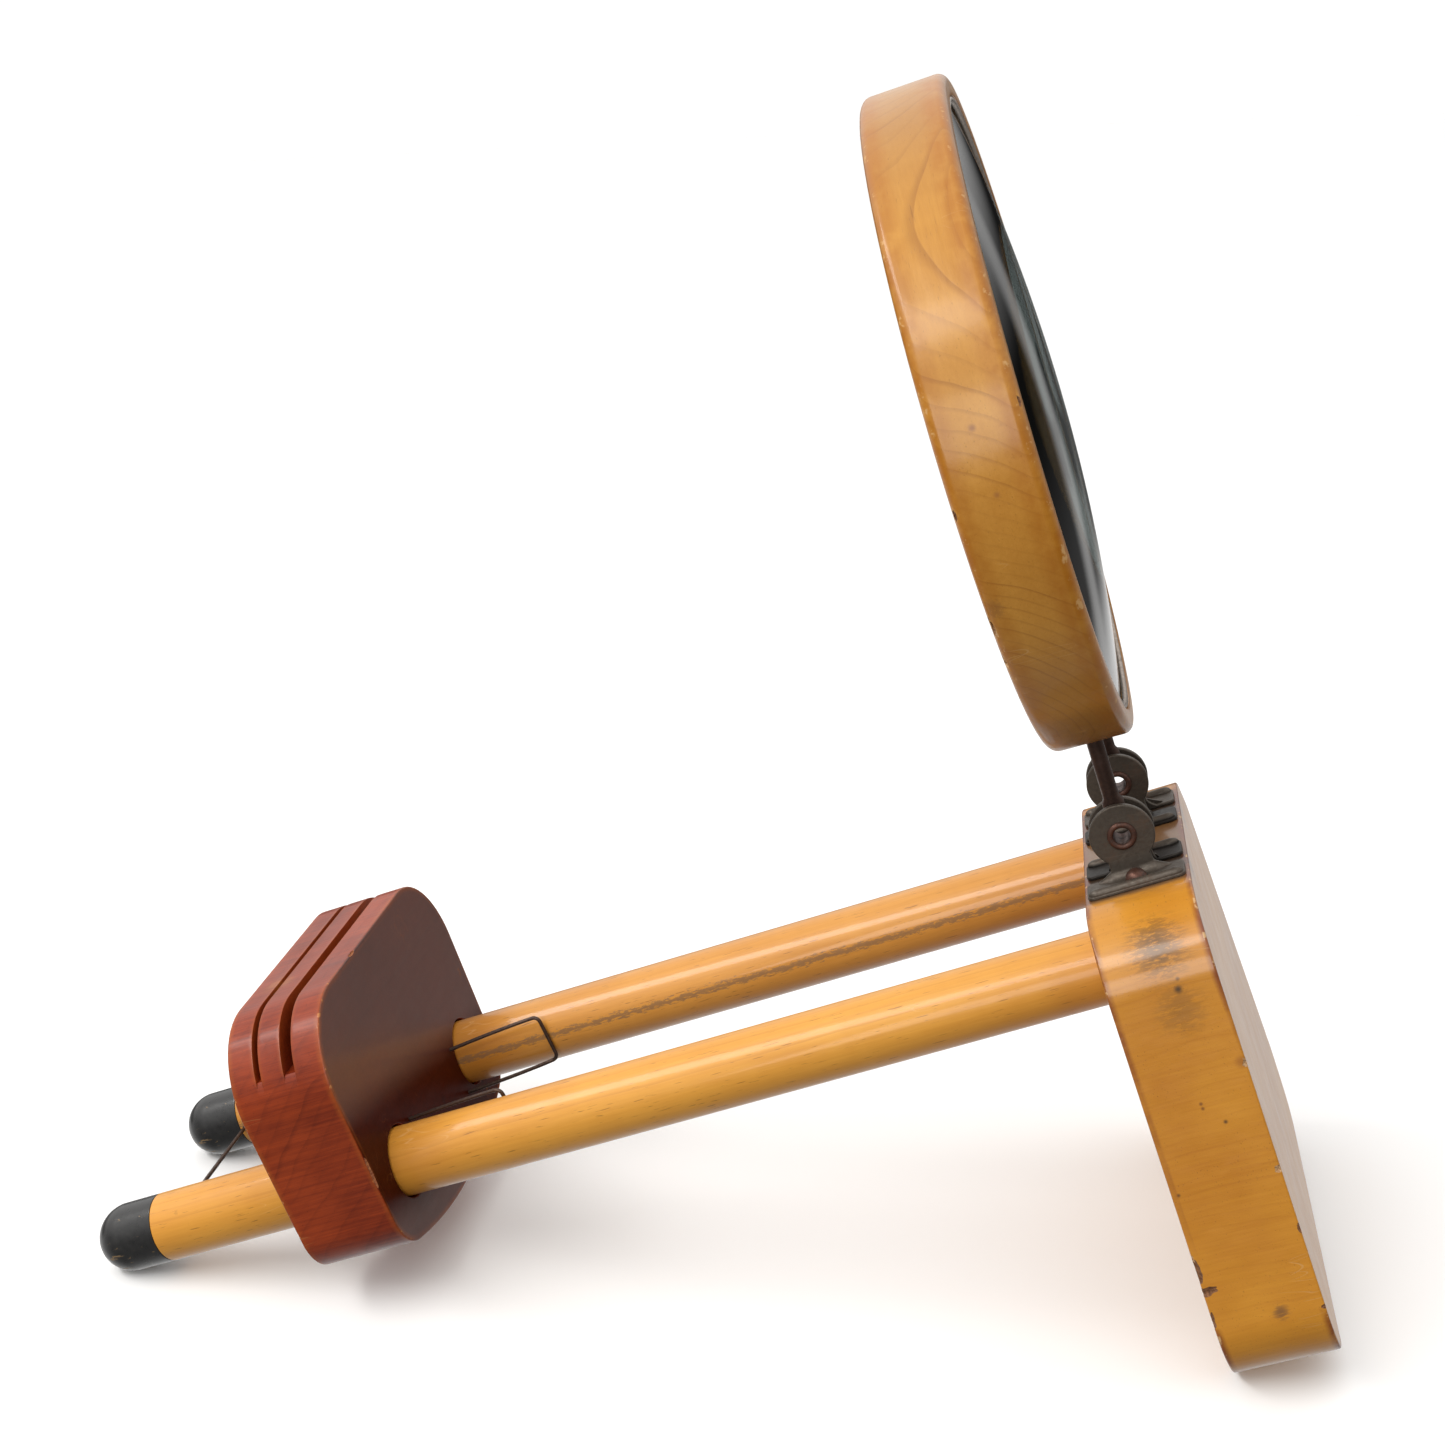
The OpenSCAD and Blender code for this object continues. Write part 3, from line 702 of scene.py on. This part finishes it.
# -------------------- base block
block_arcs = fillets([(TOP_HALF, TOP_Z), (-TOP_HALF, TOP_Z), (-BASE_HALF, BASE_Z), (BASE_HALF, BASE_Z)],
                     [21, 21, 17, 17], 14)
rings, edge = slab(block_arcs, 0, BLOCK_T, 0.55, stations=[6, BLOCK_T / 2, 21], waver=0.25)
verts, faces = loft(rings)
block = piece("base_block_look", verts, faces, STAND, None, (), [block_wood], edge)
bore = DOWEL_R + 0.12
cuts = bores([(-2, 0), (-2, bore), (SOCKET, bore), (SOCKET, 0)], brown_chip)
block_chips = [                    # x, z, side, size, material
    (-0.1, -68.5, -1, (1.3, 1.3, 3.4), brown_chip),
    (0.6, -74, -1, (3.2, 0.8, 1.2), brown_chip),
    (0.0, -81, -1, (0.8, 0.8, 2.4), brown_chip),
    (0.0, -92, -1, (1.2, 1.2, 2.6), brown_chip),
    (BLOCK_T, -49, -1, (1.6, 0.5, 1.0), pale_chip),
    (BLOCK_T, -22.5, -1, (1.0, 0.6, 1.4), pale_chip),
    (0, -66, -1, (0.6, 0.6, 2.2), pale_chip),
    (BLOCK_T + 0.1, -84, -1, (1.1, 0.5, 0.6), brown_chip),
    (BLOCK_T, -80, 1, (0.8, 1.0, 1.8), brown_chip),
    (0, -60, 1, (0.6, 0.8, 1.6), pale_chip),
    (BLOCK_T, -64, -1, (0.7, 0.6, 1.5), brown_chip)]
for i, (x, z, s, size, mat) in enumerate(block_chips):
    cuts.append(rock(on_side(x, z, s), size, i + 1, mat, STAND))
boolean(block, cuts)
clear_rims(block)
dress(block, "base", ["base_block"])

# -------------------- dowels, caps and stop wire
for (s, side), mat in zip(SIDES, (dowel_wood, worn_dowel_wood)):
    place = STAND @ Matrix.Translation((0, s * DOWEL_Y * MM, 0))
    prof = [(SOCKET - 0.1, 0), (SOCKET - 0.1, DOWEL_R - 0.4), (SOCKET - 0.5, DOWEL_R)]
    prof += [(x, DOWEL_R) for x in range(10, -270, -10)]
    prof += [(CAP_X + 0.25, DOWEL_R), (CAP_X + 0.05, DOWEL_R - 0.15), (CAP_X + 0.05, 0)]
    verts, faces, edge = lathe(prof, 96)
    piece(side + "_dowel_look", verts, faces, place, "base", [side + "_dowel"], [mat], edge,
          sharp=50)
    prof = [(CAP_X, 0), (CAP_X, DOWEL_R - 0.2), (CAP_X - 0.12, DOWEL_R - 0.02)]
    prof += [(CAP_X - x, DOWEL_R) for x in (0.5, 3, 6)]
    prof += [(TIP_X - DOWEL_R * sind(a), DOWEL_R * cosd(a))
             for a in range(0, 90, 5)]
    verts, faces, _ = lathe(prof + [(TIP_X - DOWEL_R, 0)], 96)
    seed = Vector((s, 0, 0))
    verts = [(x, y * (1 + 0.004 * noise.noise(Vector((x, y, z)) * 0.2 + seed)), z) for x, y, z in verts]
    piece(side + "_cap_look", verts, faces, place, "base", [side + "_dowel_cap"], [black],
          sharp=50)

reach = DOWEL_Y - DOWEL_R + 6           # the wire ends inside the dowels
span = [-reach + reach * k / 15 for k in range(31)]
path = [(CAP_X + 1.6 + 0.12 * math.sin(y * 0.09), y, 0.10 * math.cos(y * 0.07)) for y in span]
verts, faces = sweep(path, 0.6)
piece("stop_wire_look", verts, faces, STAND, "base", ["stop_wire"], [wire_steel], sharp=60)

# -------------------- picture carriage
CAR_TOP = 54.5
SLOT_FLOOR = CAR_TOP - 14
SLOTS = [(CAR_X0 + 0.30 * CAR_T, 1.6), (CAR_X0 + 0.63 * CAR_T, 3.3)]           # middle, width
SLOT_LIP = [(1.1, 0, 0), (0.28, 0.55, 0), (0.07, 0.9, 0.06), (0, 0.55, 0.28)]  # out from wall, edge, inset
EASE = 0.5


def carriage_arcs():
    """Rounded shoulders, sides that lean in, small feet and a shallow belly, tangent to one another."""
    shoulder, foot = Vector((56, CAR_TOP)), Vector((53, -24))
    belly, belly_r, foot_r = Vector((0, 148)), 172.0, 13.0
    up = (shoulder - foot).normalized()
    start = foot + Vector((-up.y, up.x)) * foot_r - belly
    along = -start.dot(up) - math.sqrt(start.dot(up) ** 2 - start.length_squared + (belly_r - foot_r) ** 2)
    corner = start + up * along + belly
    top = fillets([tuple(shoulder), (-shoulder.x, shoulder.y), (-foot.x, foot.y), tuple(foot)],
                  [23.5, 23.5, 1, 1], 16)[:2]
    lean = math.atan2(up.x, up.y)
    out = math.atan2(corner.y - belly.y, corner.x)
    return top + [(-corner.x, corner.y, foot_r, math.pi + lean, math.pi - out, 10),
                  (0.0, belly.y, belly_r, -math.pi - out, out, 26),
                  (corner.x, corner.y, foot_r, out, -lean, 10)]


def carriage_ring(x, inset, floor=False, lobe_inset=0.0):
    """The outline at x. floor flattens it to a slot's floor, lobe_inset eases only what stands above that."""
    ring = []
    for (y, z), (yi, zi) in zip(outline(car_arcs, inset), outline(car_arcs, inset + lobe_inset)):
        if z > SLOT_FLOOR:
            y, z = yi, SLOT_FLOOR if floor else max(zi, SLOT_FLOOR)
        ring.append((x, y, z))
    return ring


def carriage_rings():
    """The carriage from its card side to its lens side, with its two slots, and the edge values."""
    rings, edge = [], []

    def add(x, inset, e, **kw):
        ring = carriage_ring(x, inset, **kw)
        rings.append(ring)
        among_slots = CAR_X0 + 2 < x < CAR_X1 - 2
        edge.extend([0 if among_slots and z <= SLOT_FLOOR - 0.3 else e for _, _, z in ring])

    for station in eased_edge(CAR_X0, EASE, 1):
        add(*station)
    for middle, width in SLOTS:
        a, b = middle - width / 2, middle + width / 2
        for out, e, inset in SLOT_LIP:
            add(a - out, 0, e, lobe_inset=inset)
        add(a, 0, 0, floor=True, lobe_inset=SLOT_LIP[-1][2])
        add(b, 0, 0, floor=True, lobe_inset=SLOT_LIP[-1][2])
        for out, e, inset in reversed(SLOT_LIP):
            add(b + out, 0, e, lobe_inset=inset)
    for station in reversed(eased_edge(CAR_X1, EASE, -1)):
        add(*station)
    return rings, edge


car_arcs = carriage_arcs()
rings, edge = carriage_rings()
verts, faces = loft(rings)
carriage = piece("picture_carriage_look", verts, faces, STAND, None, (), [mahogany], edge)
bore = DOWEL_R + 0.6
prof = [(CAR_X0 - 1, 0), (CAR_X0 - 1, bore + 1.4), (CAR_X0, bore + 0.45), (CAR_X0 + 0.2, bore + 0.15),
        (CAR_X0 + 0.5, bore), (CAR_X1 - 0.5, bore), (CAR_X1 - 0.2, bore + 0.15), (CAR_X1, bore + 0.45),
        (CAR_X1 + 1, bore + 1.4), (CAR_X1 + 1, 0)]
cuts = bores(prof, mahogany)
carriage_chips = [                 # place, size
    ((CAR_X0 + 19.2, -54.9, 41.0), (1.6, 0.7, 0.9)),
    ((CAR_X1, -55.2, 40), (0.5, 0.7, 3.0)),
    ((CAR_X1, -54, 8), (0.45, 0.6, 5.0)),
    ((CAR_X0, -53, -4), (0.5, 0.7, 3.0)),
    ((CAR_X0 + 8.6, -54.6, 40.6), (0.9, 0.5, 0.6)),
    ((CAR_X1, -12, 54.4), (0.7, 2.2, 0.6))]
for i, (at, size) in enumerate(carriage_chips):
    cuts.append(rock(at, size, i + 21, red_chip, STAND))
boolean(carriage, cuts)
clear_rims(carriage)
dress(carriage, "carriage", ["picture_carriage"])

# -------------------- friction springs
SPRING_H, SPRING_L, BEND_R, SPRING_R = 14.4, 29.5, 1.9, 0.55
SPRING_Y, SPRING_Z = 21.3, -0.8                          # where they leave the carriage
SPLAY = math.atan2(DOWEL_Y - DOWEL_R - SPRING_R - 0.35 - SPRING_Y, SPRING_L)    # out to the dowels


def bow(x):
    """How far a leg bulges at x."""
    return 0.22 * math.sin(max(0, x) / SPRING_L * math.pi)


half = SPRING_H / 2
far = SPRING_L - BEND_R
leg = [-7 + (far + 7) * k / 12 for k in range(12)]       # from inside the carriage to the bend
path = [(x, 0, half + bow(x)) for x in leg]
path += [(x, 0, z) for x, z in reversed(arc(far, half - BEND_R, BEND_R, 0, 90, 8))]
path += [(x, 0, z) for x, z in reversed(arc(far, -half + BEND_R, BEND_R, -90, 0, 8))]
path += [(x, 0, -half - bow(x)) for x in reversed(leg)]
for s, side in SIDES:
    place = Matrix.Translation((CAR_X1, s * SPRING_Y, SPRING_Z)) @ Matrix.Rotation(s * SPLAY, 4, "Z")
    place = place @ Matrix.Rotation(-math.radians(4), 4, "Y")
    verts, faces = sweep(move(path, place), SPRING_R)
    piece(side + "_spring_look", verts, faces, STAND, "carriage", [side + "_friction_spring"],
          [wire_steel], sharp=60)

# -------------------- lens and ring
RING_R, HALF_T, EASE_R = 83.3, 10.4, 2.4    # ring: outer radius, half thickness, rounding
LIP, SEAT, RECESS = 73.0, 3.8, 77.5         # lip's radius, seat's height, radius of the recess
turn_x, turn_r = HALF_T - EASE_R, RING_R - EASE_R
round_edge = [0.6 + 0.4 * math.sin(math.pi * i / 7) for i in range(8)]
prof = [(x, r, e) for (r, x), e in zip(arc(turn_r, turn_x, EASE_R, 90, 0, 7), round_edge)]
prof += [(turn_x - 1.2, RING_R, 0.75), (3.5, RING_R, 0.08), (-4, RING_R, 0.05), (-turn_x + 1.2, RING_R, 0.6)]
prof += [(x, r, e) for (r, x), e in zip(arc(turn_r, -turn_x, EASE_R, 0, -90, 7), round_edge)]
prof += [(-HALF_T, LIP + 3, 0)]
prof += [(x, r, 0.5) for r, x in arc(LIP + 0.8, -HALF_T + 0.8, 0.8, -90, -180, 4)]
prof += [(-4, LIP, 0), (SEAT - 0.3, LIP, 0), (SEAT, LIP + 0.3, 0), (SEAT, RECESS, 0)]
prof += [(HALF_T - 0.5, RECESS, 0.2), (HALF_T - 0.15, RECESS + 0.15, 0.9), (HALF_T, RECESS + 0.6, 0.9),
         (HALF_T, RECESS + 1.6, 0.1)]
verts, faces, edge = lathe(prof, 192, closed=True)
ring = piece("lens_ring_look", verts, faces, LENS, None, (), [ring_wood], edge)
ring_chips = [                     # place, size, material
    ((-9.9, -76.5, -33.0), (0.7, 1.6, 4.2), pale_chip),
    ((-10.2, -71.6, -41.5), (0.6, 1.2, 2.4), pale_chip),
    ((-9.9, -82.3, -4), (0.5, 0.7, 1.5), brown_chip),
    ((-10.2, -64, -53.5), (0.6, 1.2, 1.6), pale_chip),
    ((10.1, -81.0, 15.5), (0.5, 0.6, 1.3), brown_chip),
    ((10.2, 60, 57.2), (0.6, 1.2, 1.2), pale_chip)]
boolean(ring, [rock(at, size, i + 41, mat, LENS) for i, (at, size, mat) in enumerate(ring_chips)])
dress(ring, "lens_head", ["lens_ring"])

LENS_R, LENS_X, LENS_EDGE, SAG = 76.4, SEAT + 0.8, 4.0, 7.5


def bulge(sag):
    """The height of a ball's cap at a distance from its middle."""
    ball = (LENS_R * LENS_R + sag * sag) / (2 * sag)
    return lambda r: math.sqrt(ball * ball - r * r) - (ball - sag)


dome, face = bulge(SAG), bulge(SAG - 1)
face_x, rim = LENS_X + LENS_EDGE, LENS_R - 0.25
radii = [LENS_R * k / 40 for k in range(1, 40)]
prof = [(LENS_X - dome(0), 0)] + [(LENS_X - dome(r), r) for r in radii]
prof += [(LENS_X - dome(rim), rim), (LENS_X + 0.2, LENS_R), (face_x - 0.2, LENS_R), (face_x + face(rim), rim)]
prof += [(face_x + face(r), r) for r in reversed(radii)] + [(face_x + face(0), 0)]
verts, faces, _ = lathe(prof, 192)
piece("lens_look", verts, faces, LENS, "lens_head", ["lens"], [glass], sharp=30, weighted=False)

BEAD_R = 0.8
prof = [(face_x + BEAD_R + 0.02 + BEAD_R * math.sin(a), RECESS - BEAD_R - 0.02 + BEAD_R * math.cos(a))
        for a in [2 * math.pi * k / 16 for k in range(16)]]
verts, faces, _ = lathe(prof, 192, closed=True)
piece("lens_retaining_ring_look", verts, faces, LENS, "lens_head", ["lens_retaining_ring"],
      [bead_steel], sharp=80, weighted=False)

# -------------------- hinges
EAR_IN, EAR_T, EAR_R, NECK = 2.05, 1.6, 8.2, 5.4         # ear: inner face, thickness, radius, half neck
FLARE_POWER = 2.8                                        # how late the neck widens to the foot
FOOT_HALF, FOOT_OUT, FOOT_T, FOOT_Z = 12.5, 11.4, 1.0, TOP_Z - HINGE.z
RIB_AT, RIB_R, RIB_HALF = 10.0, 1.3, 10.0                # the rib along a foot
EYE_R, ROD_R, HOLE_R = 6.6, 2.1, 2.95                    # stem: eye, rod, and the hole for the rivet
HEAD_R, HEAD_H, SHANK_R = 2.75, 2.2, 1.4                 # screws


def plate(points, y0, y1, name, mat, m, ease=0.3, axis="y"):
    """A flat plate with eased edges. points are an outline, as (x, z) for axis y or (x, y) for axis z."""
    normals = []
    for i in range(len(points)):
        a, c = points[i - 1], points[(i + 1) % len(points)]
        t = Vector((c[0] - a[0], c[1] - a[1])).normalized()
        normals.append((t.y, -t.x))
    rings = []
    lo = [(0, ease), (ease * 0.3, ease * 0.3), (ease, 0)]
    for h, d in [(y0 + a, b) for a, b in lo] + [(y1 - a, b) for a, b in reversed(lo)]:
        flat = [(p[0] - n[0] * d, p[1] - n[1] * d) for p, n in zip(points, normals)]
        rings.append([(u, h, w) if axis == "y" else (u, w, h) for u, w in flat])
    verts, faces = loft(rings)
    return piece(name, verts, faces, m, None, (), [mat])


def ear_outline(flare):
    """A disc that narrows to a neck and flares into the foot."""
    low = math.degrees(math.asin(NECK / EAR_R))
    disc = [(EAR_R * sind(a), EAR_R * cosd(a))
            for a in [180 - low - (360 - 2 * low) * k / 56 for k in range(57)]]
    waist = -EAR_R * 0.86
    side = [(NECK + (flare - NECK) * (k / 6) ** FLARE_POWER, waist + (FOOT_Z + 0.05 - waist) * k / 6)
            for k in range(1, 7)]
    return disc + [(-x, z) for x, z in side] + side[::-1]


def bend_rings(flare, full):
    """The round bend between ear and foot, which dies out with the ear's flare."""
    back, out, floor = EAR_IN + 1.2, EAR_IN + EAR_T, FOOT_Z + FOOT_T
    ends = [NECK + (flare - NECK) * t for t in (0.02, 0.12, 0.26, 0.43, 0.6, 0.74, 0.86, 0.95)]
    rings = []
    for x in [-x for x in reversed(ends)] + [0.0] + ends:
        ear_edge = 4.6 * (1 - (max(0.0, abs(x) - NECK) / (flare - NECK)) ** (1 / FLARE_POWER))
        r = 0.08 + full * sind(90 * min(1.0, ear_edge / (1.6 * full)))
        curve = [(x, out + r - r * sind(a), floor + r - r * cosd(a))
                 for a in range(9, 91, 9)]
        rings.append([(x, back, floor - 0.4), (x, out + r, floor - 0.4), (x, out + r, floor)] + curve
                     + [(x, back, floor + r)])
    return rings


def bracket(name, at, sgn, flare, full, steel):
    """A stamped bracket: ear, foot, the bend between them, and a rib along the foot."""
    m = at @ Matrix.Scale(sgn, 4, (0, 1, 0))
    ear = plate(ear_outline(flare), EAR_IN, EAR_IN + EAR_T, name + "_look", steel, m)
    near = EAR_IN + 0.02
    shaded_spots = [(FOOT_HALF, FOOT_OUT), (-FOOT_HALF, FOOT_OUT), (-FOOT_HALF, near), (FOOT_HALF, near)]
    foot = plate(outline(fillets(shaded_spots, [1.6] * 4, 5)), FOOT_Z, FOOT_Z + FOOT_T, "tool", steel, m, axis="z")
    bend = tool(*loft(bend_rings(flare, full)), steel, m)
    prof = [(-RIB_HALF - 2.1, 0)]
    prof += [(-RIB_HALF - 1.6 * RIB_R * cosd(a), RIB_R * sind(a))
             for a in range(9, 91, 9)]
    prof += [(-x, r) for x, r in reversed(prof)]
    verts, faces, _ = lathe(prof, 44)
    rib = tool(move(verts, Matrix.Translation((0, RIB_AT, FOOT_Z + FOOT_T + 0.05))), faces, steel, m)
    boolean(ear, [foot, bend, rib], "UNION")
    hole = HOLE_R - 0.03
    verts, faces, _ = lathe([(-1, 0), (-1, hole), (9, hole), (9, 0)], 48)
    boolean(ear, [tool(along_y(verts), faces, steel, m)])
    ear.data.transform(Matrix.Scale(sgn, 4, (0, 1, 0)))
    ear.matrix_world = at
    dress(ear, "base", [name], sharp=16)


def rivet(side, at):
    """A hollow rivet with rolled rims."""
    out = EAR_IN + EAR_T
    prof = [(out - 0.02, 2.9)]
    prof += [(out + 0.75 * sind(a), 2.95 + 0.78 * cosd(a))
             for a in range(0, 181, 20)]
    prof += [(out - 0.8, 2.2), (0, 2.2)]
    prof += [(-x, r) for x, r in reversed(prof[:-1])]
    verts, faces, _ = lathe(prof, 56, closed=True)
    piece(side + "_rivet_look", along_y(verts), faces, at, "base", [side + "_hollow_rivet"],
          [copper], sharp=50)


def stem(side, m):
    """A round rod up to the ring, flattened into a round eye."""
    disc = [(EYE_R * math.cos(a), EYE_R * math.sin(a)) for a in [-2 * math.pi * k / 56 for k in range(56)]]
    eye = plate(disc, -1.95, 1.95, side + "_stem_look", stem_steel, m, 0.25)
    rings = []
    for z in (3.0, 7.2, 8.4, 9.6, 11.5, 14.0, 20.0, 27.0, 33.0):
        flat = max(0.0, min(1.0, (9.6 - z) / 1.4))
        ring = []
        for j in range(28):
            a = 2 * math.pi * j / 28
            x, y = ROD_R * math.cos(a) * (1 + 0.35 * flat), ROD_R * math.sin(a)
            ring.append((x, max(-1.9, min(1.9, y)) if flat > 0 else y, z))
        rings.append(ring)
    boolean(eye, [tool(*loft(rings), stem_steel, m)], "UNION")
    verts, faces, _ = lathe([(-4, 0), (-4, HOLE_R), (4, HOLE_R), (4, 0)], 48)
    boolean(eye, [tool(along_y(verts), faces, stem_steel, m)])
    dress(eye, "lens_head", [side + "_hinge_stem"], sharp=28)


for hinge, side in SIDES:
    at = STAND @ Matrix.Translation((HINGE.x * MM, hinge * HINGE_Y * MM, HINGE.z * MM))
    for sgn in (-1, 1):
        if sgn == hinge:
            bracket(side + "_hinge_outer_bracket", at, sgn, 9.6, 2.05, hinge_steel)
        else:
            # the inner brackets carry painted shade, near black, low on the foot between ear and rib
            bracket(side + "_hinge_inner_bracket", at, sgn, 6.6, 1.05, hinge_steel_with_painted_shade)
    rivet(side, at)
    stem(side, HEAD @ Matrix.Translation((0, hinge * HINGE_Y * MM, 0)))

# four round-headed screws in one piece
SCREW_AT = EAR_IN + EAR_T + HEAD_R
ball = (HEAD_R ** 2 + HEAD_H ** 2) / (2 * HEAD_H)
turns = [math.acos((ball - HEAD_H) / ball) * k / 9 for k in range(1, 10)]
prof = [(HEAD_H, 0)] + [(max(0.08, HEAD_H - ball + ball * math.cos(a)), ball * math.sin(a)) for a in turns]
prof += [(0.0, HEAD_R - 0.1), (0.0, SHANK_R + 0.05), (-7.6, SHANK_R), (-8.0, 0.9), (-8.0, 0)]
screw, screw_faces, _ = lathe(prof, 40)
upright = Matrix.Rotation(math.radians(-90), 4, "Y")
verts, faces = [], []
for hinge in (-1, 1):
    for sgn in (-1, 1):
        at = (HINGE.x + 0.25 * hinge * sgn, hinge * HINGE_Y + sgn * SCREW_AT, TOP_Z + 1.35)
        faces += [tuple(i + len(verts) for i in face) for face in screw_faces]
        verts += move(screw, Matrix.Translation(at) @ upright)
piece("hinge_screws_look", verts, faces, STAND, "base", ["hinge_screws"], [copper], sharp=40)

# -------------------- stage
FLOOR_R, OVERHEAD = 7.0, 1.2                  # the floor's radius, how bright the room is overhead
CAMERA_AT = (0.0952, -0.5332, 0.3236)
CAMERA_TURN = (0.80601, 0.58708, 0.05945, 0.04637)
FOCAL_LENGTH, SENSOR = 53.45, 36.0            # millimetres


def studio():
    """A room, bright overhead and behind, dim low in front and to the right, with a dark doorway behind the
    lens that holds one pale upright strip. Seen directly it is plain white."""
    g = Graph("studio", world=True)
    x, y, z = g.parts(g.node("ShaderNodeTexCoord").outputs["Generated"])
    up = g.step(z, -0.05, 0.65, 0.0, 1.0)
    behind = g.step(y, -0.6, 0.5)
    left = g.step(x, 0.75, -0.2)
    low = g.times(g.plus(g.times(behind, 0.66), 0.24), g.step(left, 0.0, 1.0, 0.4, 1.0))
    room = g.plus(g.times(up, OVERHEAD), g.times(g.minus(1.0, up), low))
    door = g.times(g.times(g.step(z, -0.262, -0.19), g.step(z, 0.10, -0.03)),
                   g.times(g.step(x, 0.56, 0.47), g.step(y, 0.05, 0.25)))
    strip = g.times(g.step(x, 0.20, 0.25), g.step(x, 0.31, 0.26))
    inside = g.plus(g.times(strip, 0.36), g.step(z, -0.19, -0.05, 0.08, 0.012))
    room = g.plus(g.times(room, g.minus(1.0, door)), g.times(inside, door))
    rays = g.node("ShaderNodeLightPath").outputs
    through = g.times(rays["Is Transmission Ray"], g.minus(1.0, door))
    room = g.math("MAXIMUM", room, g.times(through, 0.62))
    direct = rays["Is Camera Ray"]
    room = g.plus(g.times(room, g.minus(1.0, direct)), g.times(direct, 1.03))
    g.shade(Color=(1.0, 0.993, 0.982, 1), Strength=room)
    scene.world = g.mat


def stand_in(name, data, place, turn):
    """Places a light or the camera."""
    ob = bpy.data.objects.new(name, data)
    ob.location = place
    ob.rotation_mode = "QUATERNION"
    ob.rotation_quaternion = turn
    scene.collection.objects.link(ob)
    return ob


def light(name, place, target, size, power, colour):
    data = bpy.data.lights.new(name, "AREA")
    data.shape, data.size, data.size_y = "RECTANGLE", size[0], size[1]
    data.energy, data.color = power, colour
    stand_in(name, data, place, (Vector(target) - Vector(place)).to_track_quat("-Z", "Y"))


bm = bmesh.new()
bmesh.ops.create_circle(bm, cap_ends=True, segments=96, radius=FLOOR_R)
floor = from_bmesh("floor", bm, floor_material(), Matrix.Identity(4))
floor.visible_glossy = floor.visible_transmission = floor.visible_diffuse = False
studio()
light("key", (-0.6, -0.46, 0.97), (0, 0, 0.08), (1.3, 0.24), 8.0, (1.0, 0.985, 0.96))
light("front", (-0.2, -1.5, 0.45), (0.05, 0, 0.2), (0.6, 0.5), 4.5, (1.0, 0.98, 0.95))
cam_data = bpy.data.cameras.new("camera")
cam_data.sensor_width = SENSOR
cam_data.lens = FOCAL_LENGTH
scene.camera = stand_in("camera", cam_data, CAMERA_AT, CAMERA_TURN)
